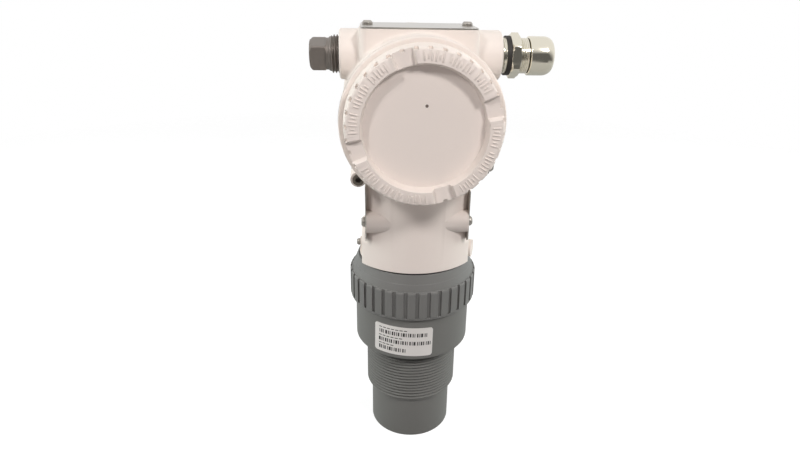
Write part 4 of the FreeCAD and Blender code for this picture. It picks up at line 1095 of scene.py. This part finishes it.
@dataclass
class CableGland:
    """The plated gland in the right hub and its dome nut. Heights run along X, in millimetres.

    A thread's gaps are the lengths left bare at its two ends.
    """

    maker: PieceMaker
    axis_height: float = 248.5
    steps: int = 180
    sides: int = 6
    start: float = 36.6
    crest: float = 10.4
    core: float = 9.7
    pitch: float = 1.5
    lead: float = 0.6
    thread_gaps: Point = (0.8, 0.5)
    seal_start: float = 49.5
    hex_start: float = 52.1
    hex_end: float = 57.3
    hex_corner: float = 12.7
    hex_apothem: float = 11.2
    hex_chamfer: Point = (1.3, 0.75)
    hex_margin: float = 0.01
    hex_phase: float = 30.0
    neck: float = 9.8
    neck_end: float = 62.4
    neck_chamfer: float = 0.3
    neck_rings: int = 4
    ring_depth: float = 0.35
    ring_share: float = 0.3
    spigot: float = 9.2
    spigot_core: float = 8.75
    spigot_gaps: Point = (0.7, 0.6)
    spigot_sink: float = 0.2
    end: float = 71.3
    claw_start: float = 62.3
    claw_bore: float = 8.25
    bore: float = 6.6
    body_round: float = 0.22
    body_angle: float = 26.0
    dome_start: float = 62.7
    dome_bore: float = 9.5
    dome_radius: float = 10.85
    dome_apothem: float = 10.55
    dome_chamfer: float = 0.5
    dome_shoulder: float = 71.3
    dome_points: int = 14
    dome_end: float = 76.9
    dome_hole: float = 6.4
    dome_lip: float = 0.5
    dome_lip_depth: float = 0.4
    dome_floor: float = 72.4
    flats_low: float = 2.2
    flats_high: float = 0.9
    dome_round: float = 0.2
    dome_angle: float = 30.0

    def place(self) -> Matrix:
        """Where the gland's own axes lie in the frame."""
        return Matrix.Translation((0.0, 0.0, self.axis_height * MM)) @ Facing.RIGHT.turn()

    def ring_profile(self) -> list[Point]:
        """Find the corners of the rings that are cut into the neck.

        Returns:
            Radius and height of each corner.
        """
        step = (self.neck_end - self.hex_end) / (self.neck_rings + 1)
        rings: list[Point] = []
        for ring in range(1, self.neck_rings + 1):
            middle = self.hex_end + step * ring
            rings += [(self.neck, middle - step * self.ring_share),
                      (self.neck - self.ring_depth, middle),
                      (self.neck, middle + step * self.ring_share)]
        return rings

    def build_body(self) -> None:
        """Turn the body, press its hexagon, cut its neck's rings and wind its two threads."""
        shape = bmesh.new()
        chamfer_depth, chamfer_length = self.hex_chamfer
        hex_face = self.hex_corner - chamfer_depth
        lathe(shape, [
            (self.bore, self.start), (self.core - self.lead, self.start),
            (self.core, self.start + self.lead), (self.core, self.seal_start),
            (self.neck, self.seal_start), (self.neck, self.hex_start),
            (hex_face, self.hex_start), (self.hex_corner, self.hex_start + chamfer_length),
            (self.hex_corner, self.hex_end - chamfer_length), (hex_face, self.hex_end),
            (self.neck, self.hex_end), *self.ring_profile(),
            (self.neck, self.neck_end - self.neck_chamfer),
            (self.neck - self.neck_chamfer, self.neck_end),
            (self.spigot_core, self.neck_end), (self.spigot_core, self.end),
            (self.claw_bore, self.end), (self.claw_bore, self.claw_start),
            (self.bore, self.claw_start), (self.bore, self.start)], steps=self.steps)
        cut_flats(shape, self.sides, self.hex_apothem, self.hex_start - self.hex_margin,
                  self.hex_end + self.hex_margin, self.hex_phase)
        soften(shape, self.body_round, self.body_angle)
        inside = ThreadRidge(
            self.crest, self.core, self.pitch, self.start + self.thread_gaps[0],
            self.seal_start - self.thread_gaps[1])
        outside = ThreadRidge(
            self.spigot, self.spigot_core, self.pitch, self.neck_end + self.spigot_gaps[0],
            self.end - self.spigot_gaps[1], sink=self.spigot_sink)
        for ridge in (inside, outside):
            join(shape, ridge.build())
        shape.transform(self.place())
        self.maker.make(
            "gland_shell", shape, "housing", NICKEL, Slot.NICKEL, ("gland_body",))

    def build_dome_nut(self) -> None:
        """Turn the dome nut and press its shallow flats."""
        shape = bmesh.new()
        rim = self.dome_hole + self.dome_lip
        dome = arc(
            (rim, self.dome_shoulder),
            (self.dome_radius - rim, self.dome_end - self.dome_shoulder),
            0.0, 90.0, self.dome_points)
        lathe(shape, [
            (self.dome_bore, self.dome_start),
            (self.dome_radius - self.dome_chamfer, self.dome_start),
            (self.dome_radius, self.dome_start + self.dome_chamfer), *dome,
            (self.dome_hole, self.dome_end - self.dome_lip_depth),
            (self.dome_hole, self.dome_floor), (self.dome_bore, self.dome_floor),
            (self.dome_bore, self.dome_start)], steps=self.steps)
        cut_flats(shape, self.sides, self.dome_apothem, self.dome_start + self.flats_low,
                  self.dome_shoulder + self.flats_high, self.hex_phase)
        soften(shape, self.dome_round, self.dome_angle)
        shape.transform(self.place())
        self.maker.make(
            "gland_cap", shape, "dome_nut", NICKEL, Slot.NICKEL, ("gland_dome_nut",))


@dataclass
class CadNodes:
    """The solids that keep their own mesh, dressed in their finishes."""

    paints: Paintbox
    nodes: dict[str, bpy.types.Object]

    def dress(self) -> None:
        """Smooth each node's shading and give it its finish."""
        shading = SmoothShading()
        for finish, names in NODE_FINISHES.items():
            for name in names:
                shading.apply(self.nodes[name])
                self.paints.dress(self.nodes[name], finish)
                LOG.info("node %s is dressed in %s", name, finish.name)


# Studio

@dataclass
class Lamp:
    """One square soft lamp that points at the object. Lengths are in metres, power in watts."""

    name: str
    place: Triple
    colour: Colour
    size: float
    power: float
    in_gloss: bool = True
    target: Triple = (0.0, 0.0, 0.15)

    def build(self) -> None:
        """Hang the lamp and turn it to its target."""
        light = bpy.data.lights.new(self.name, "AREA")
        light.size = self.size
        light.energy = self.power
        light.color = self.colour
        lamp = bpy.data.objects.new(self.name, light)
        lamp.location = self.place
        lamp.visible_glossy = self.in_gloss
        aim = Vector(self.target) - Vector(self.place)
        lamp.rotation_euler = aim.to_track_quat("-Z", "Y").to_euler()
        bpy.context.scene.collection.objects.link(lamp)


WARM_LIGHT: Colour = (1.0, 0.965, 0.95)
COOL_LIGHT: Colour = (0.94, 1.0, 0.97)
ROSE_LIGHT: Colour = (1.0, 0.80, 0.79)

LAMPS = (
    Lamp("front_left_lamp", (-0.63, -0.75, 0.95), WARM_LIGHT, size=0.2, power=4.8),
    Lamp("front_right_lamp", (0.47, -0.75, 0.95), WARM_LIGHT, size=0.2, power=6.45),
    Lamp("top_lamp", (0.0, 0.1, 1.2), COOL_LIGHT, size=0.8, power=2.0, in_gloss=False),
    Lamp("left_side_lamp", (-0.9, 0.2, 0.35), COOL_LIGHT, size=0.7, power=6.4, in_gloss=False),
    Lamp("right_side_lamp", (0.9, 0.2, 0.35), COOL_LIGHT, size=0.7, power=6.4, in_gloss=False),
    Lamp("fill_lamp", (0.0, -1.2, 0.25), ROSE_LIGHT, size=1.0, power=1.1, in_gloss=False),
)


@dataclass
class Studio:
    """Floor, lamps, sky and camera.

    Lengths are in metres and angles in degrees, the lens is in millimetres, and the shift is in
    pixels of the image.
    """

    floor_radius: float = 1.1
    floor_rim: float = 0.05
    floor_fade: float = 0.55
    floor_segments: int = 96
    floor_shade: float = 0.34
    floor_roughness: float = 0.9
    floor_specular: float = 0.1
    floor_glow: float = 0.8
    floor_gloss: float = 0.2
    sky: float = 0.10
    front_gloss: float = 0.14
    back_gloss: float = 1.0
    gloss_back_share: float = 0.6
    gloss_up_share: float = 0.8
    gloss_low: float = -0.5
    gloss_high: float = 0.3
    distance: float = 0.3461
    height: float = 0.2893
    azimuth: float = -4.65
    pitch: float = 22.69
    roll: float = 1.19
    lens: float = 26.80
    shift: float = 13.5

    def floor_material(self) -> bpy.types.Material:
        """Make the floor white to the eye, dim as a light, and faded out at its rim.

        Returns:
            The floor's material.
        """
        made = bpy.data.materials.new("pale_floor")
        made.use_nodes = True
        wires = Wiring(made.node_tree)
        shader = made.node_tree.nodes["Principled BSDF"]
        shade = self.floor_shade
        shader.inputs["Base Color"].default_value = (shade, shade, shade, 1.0)
        shader.inputs["Roughness"].default_value = self.floor_roughness
        shader.inputs["Specular IOR Level"].default_value = self.floor_specular
        rays = wires.add("ShaderNodeLightPath")
        seen = wires.math("MULTIPLY", rays.outputs["Is Camera Ray"], self.floor_glow)
        mirrored = wires.math("MULTIPLY", rays.outputs["Is Glossy Ray"], self.floor_gloss)
        wires.feed(shader.inputs["Emission Strength"], wires.math("ADD", seen, mirrored))
        shader.inputs["Emission Color"].default_value = WHITE
        place = wires.add("ShaderNodeTexCoord")
        reach = wires.add("ShaderNodeVectorMath")
        reach.operation = "LENGTH"
        wires.feed(reach.inputs[0], place.outputs["Object"])
        left = wires.math("SUBTRACT", self.floor_radius - self.floor_rim, reach.outputs["Value"])
        fade = wires.math("DIVIDE", left, self.floor_fade, clamp=True)
        wires.feed(shader.inputs["Alpha"], fade)
        return made

    def build_floor(self) -> None:
        """Lay a pale round floor that fades into the white sky."""
        shape = bmesh.new()
        bmesh.ops.create_circle(
            shape, cap_ends=True, segments=self.floor_segments, radius=self.floor_radius)
        mesh = bpy.data.meshes.new("floor")
        shape.to_mesh(mesh)
        shape.free()
        floor = bpy.data.objects.new("floor", mesh)
        bpy.context.scene.collection.objects.link(floor)
        mesh.materials.append(self.floor_material())

    def build_sky(self) -> None:
        """Make the sky white to the eye, darker low in front in reflections, and dim as a light."""
        world = bpy.data.worlds.new("studio_sky")
        bpy.context.scene.world = world
        world.use_nodes = True
        wires = Wiring(world.node_tree)
        sky = world.node_tree.nodes["Background"]
        rays = wires.add("ShaderNodeLightPath")
        place = wires.add("ShaderNodeTexCoord")
        way = wires.add("ShaderNodeSeparateXYZ", Vector=place.outputs["Generated"])
        height = wires.math(
            "ADD", wires.math("MULTIPLY", way.outputs["Y"], self.gloss_back_share),
            wires.math("MULTIPLY", way.outputs["Z"], self.gloss_up_share))
        ramp = wires.add(
            "ShaderNodeMapRange", Value=height, From_Min=self.gloss_low,
            From_Max=self.gloss_high, To_Min=self.front_gloss, To_Max=self.back_gloss)
        ramp.interpolation_type = "SMOOTHSTEP"
        gloss = wires.math("MULTIPLY", rays.outputs["Is Glossy Ray"], ramp.outputs[0])
        seen = wires.math("MAXIMUM", rays.outputs["Is Camera Ray"], gloss)
        sky.inputs["Color"].default_value = WHITE
        wires.feed(sky.inputs["Strength"], wires.math("MAXIMUM", seen, self.sky))

    def build_lamps(self) -> None:
        """Hang two lamps in front, one overhead, one at each side and a weak fill."""
        for lamp in LAMPS:
            lamp.build()

    def build_camera(self) -> None:
        """Stand the camera where the photograph was taken from."""
        turn = math.radians(self.azimuth)
        data = bpy.data.cameras.new("photo_camera")
        data.lens = self.lens
        data.sensor_width = SENSOR_WIDTH
        data.shift_x = -self.shift / IMAGE_WIDTH
        data.clip_start = NEAR_CLIP
        camera = bpy.data.objects.new("photo_camera", data)
        pose = (Matrix.Rotation(turn, 4, "Z")
                @ Matrix.Rotation(math.radians(90.0 - self.pitch), 4, "X")
                @ Matrix.Rotation(math.radians(self.roll), 4, "Z"))
        place = Vector(
            (self.distance * math.sin(turn), -self.distance * math.cos(turn), self.height))
        camera.matrix_world = Matrix.Translation(place) @ pose
        bpy.context.scene.collection.objects.link(camera)
        bpy.context.scene.camera = camera

    def build(self) -> None:
        """Build the whole studio."""
        bpy.context.scene.view_settings.view_transform = "Standard"
        self.build_floor()
        self.build_sky()
        self.build_lamps()
        self.build_camera()
        LOG.info("studio is ready")


def main() -> None:
    """Build every sub-assembly round the frame, and the studio."""
    logging.basicConfig(level=logging.INFO, format="%(name)s: %(message)s")
    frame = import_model()
    paints = Paintbox()
    maker = PieceMaker(paints)
    CadNodes(paints, frame["nodes"]).dress()
    SensorBody(maker).build_shell()
    GapShadeRing(maker).build()
    sticker = Sticker(maker)
    sticker.build_sheet()
    sticker.build_print()
    for marks in (CoverMarks(maker, "front_cover", Facing.FRONT, turn=17.5),
                  CoverMarks(maker, "rear_cover", Facing.REAR, turn=52.0)):
        marks.build_dashes()
        marks.build_dimple()
    PipePlug(maker).build()
    gland = CableGland(maker)
    gland.build_body()
    gland.build_dome_nut()
    Studio().build()


if __name__ == "__main__":
    main()
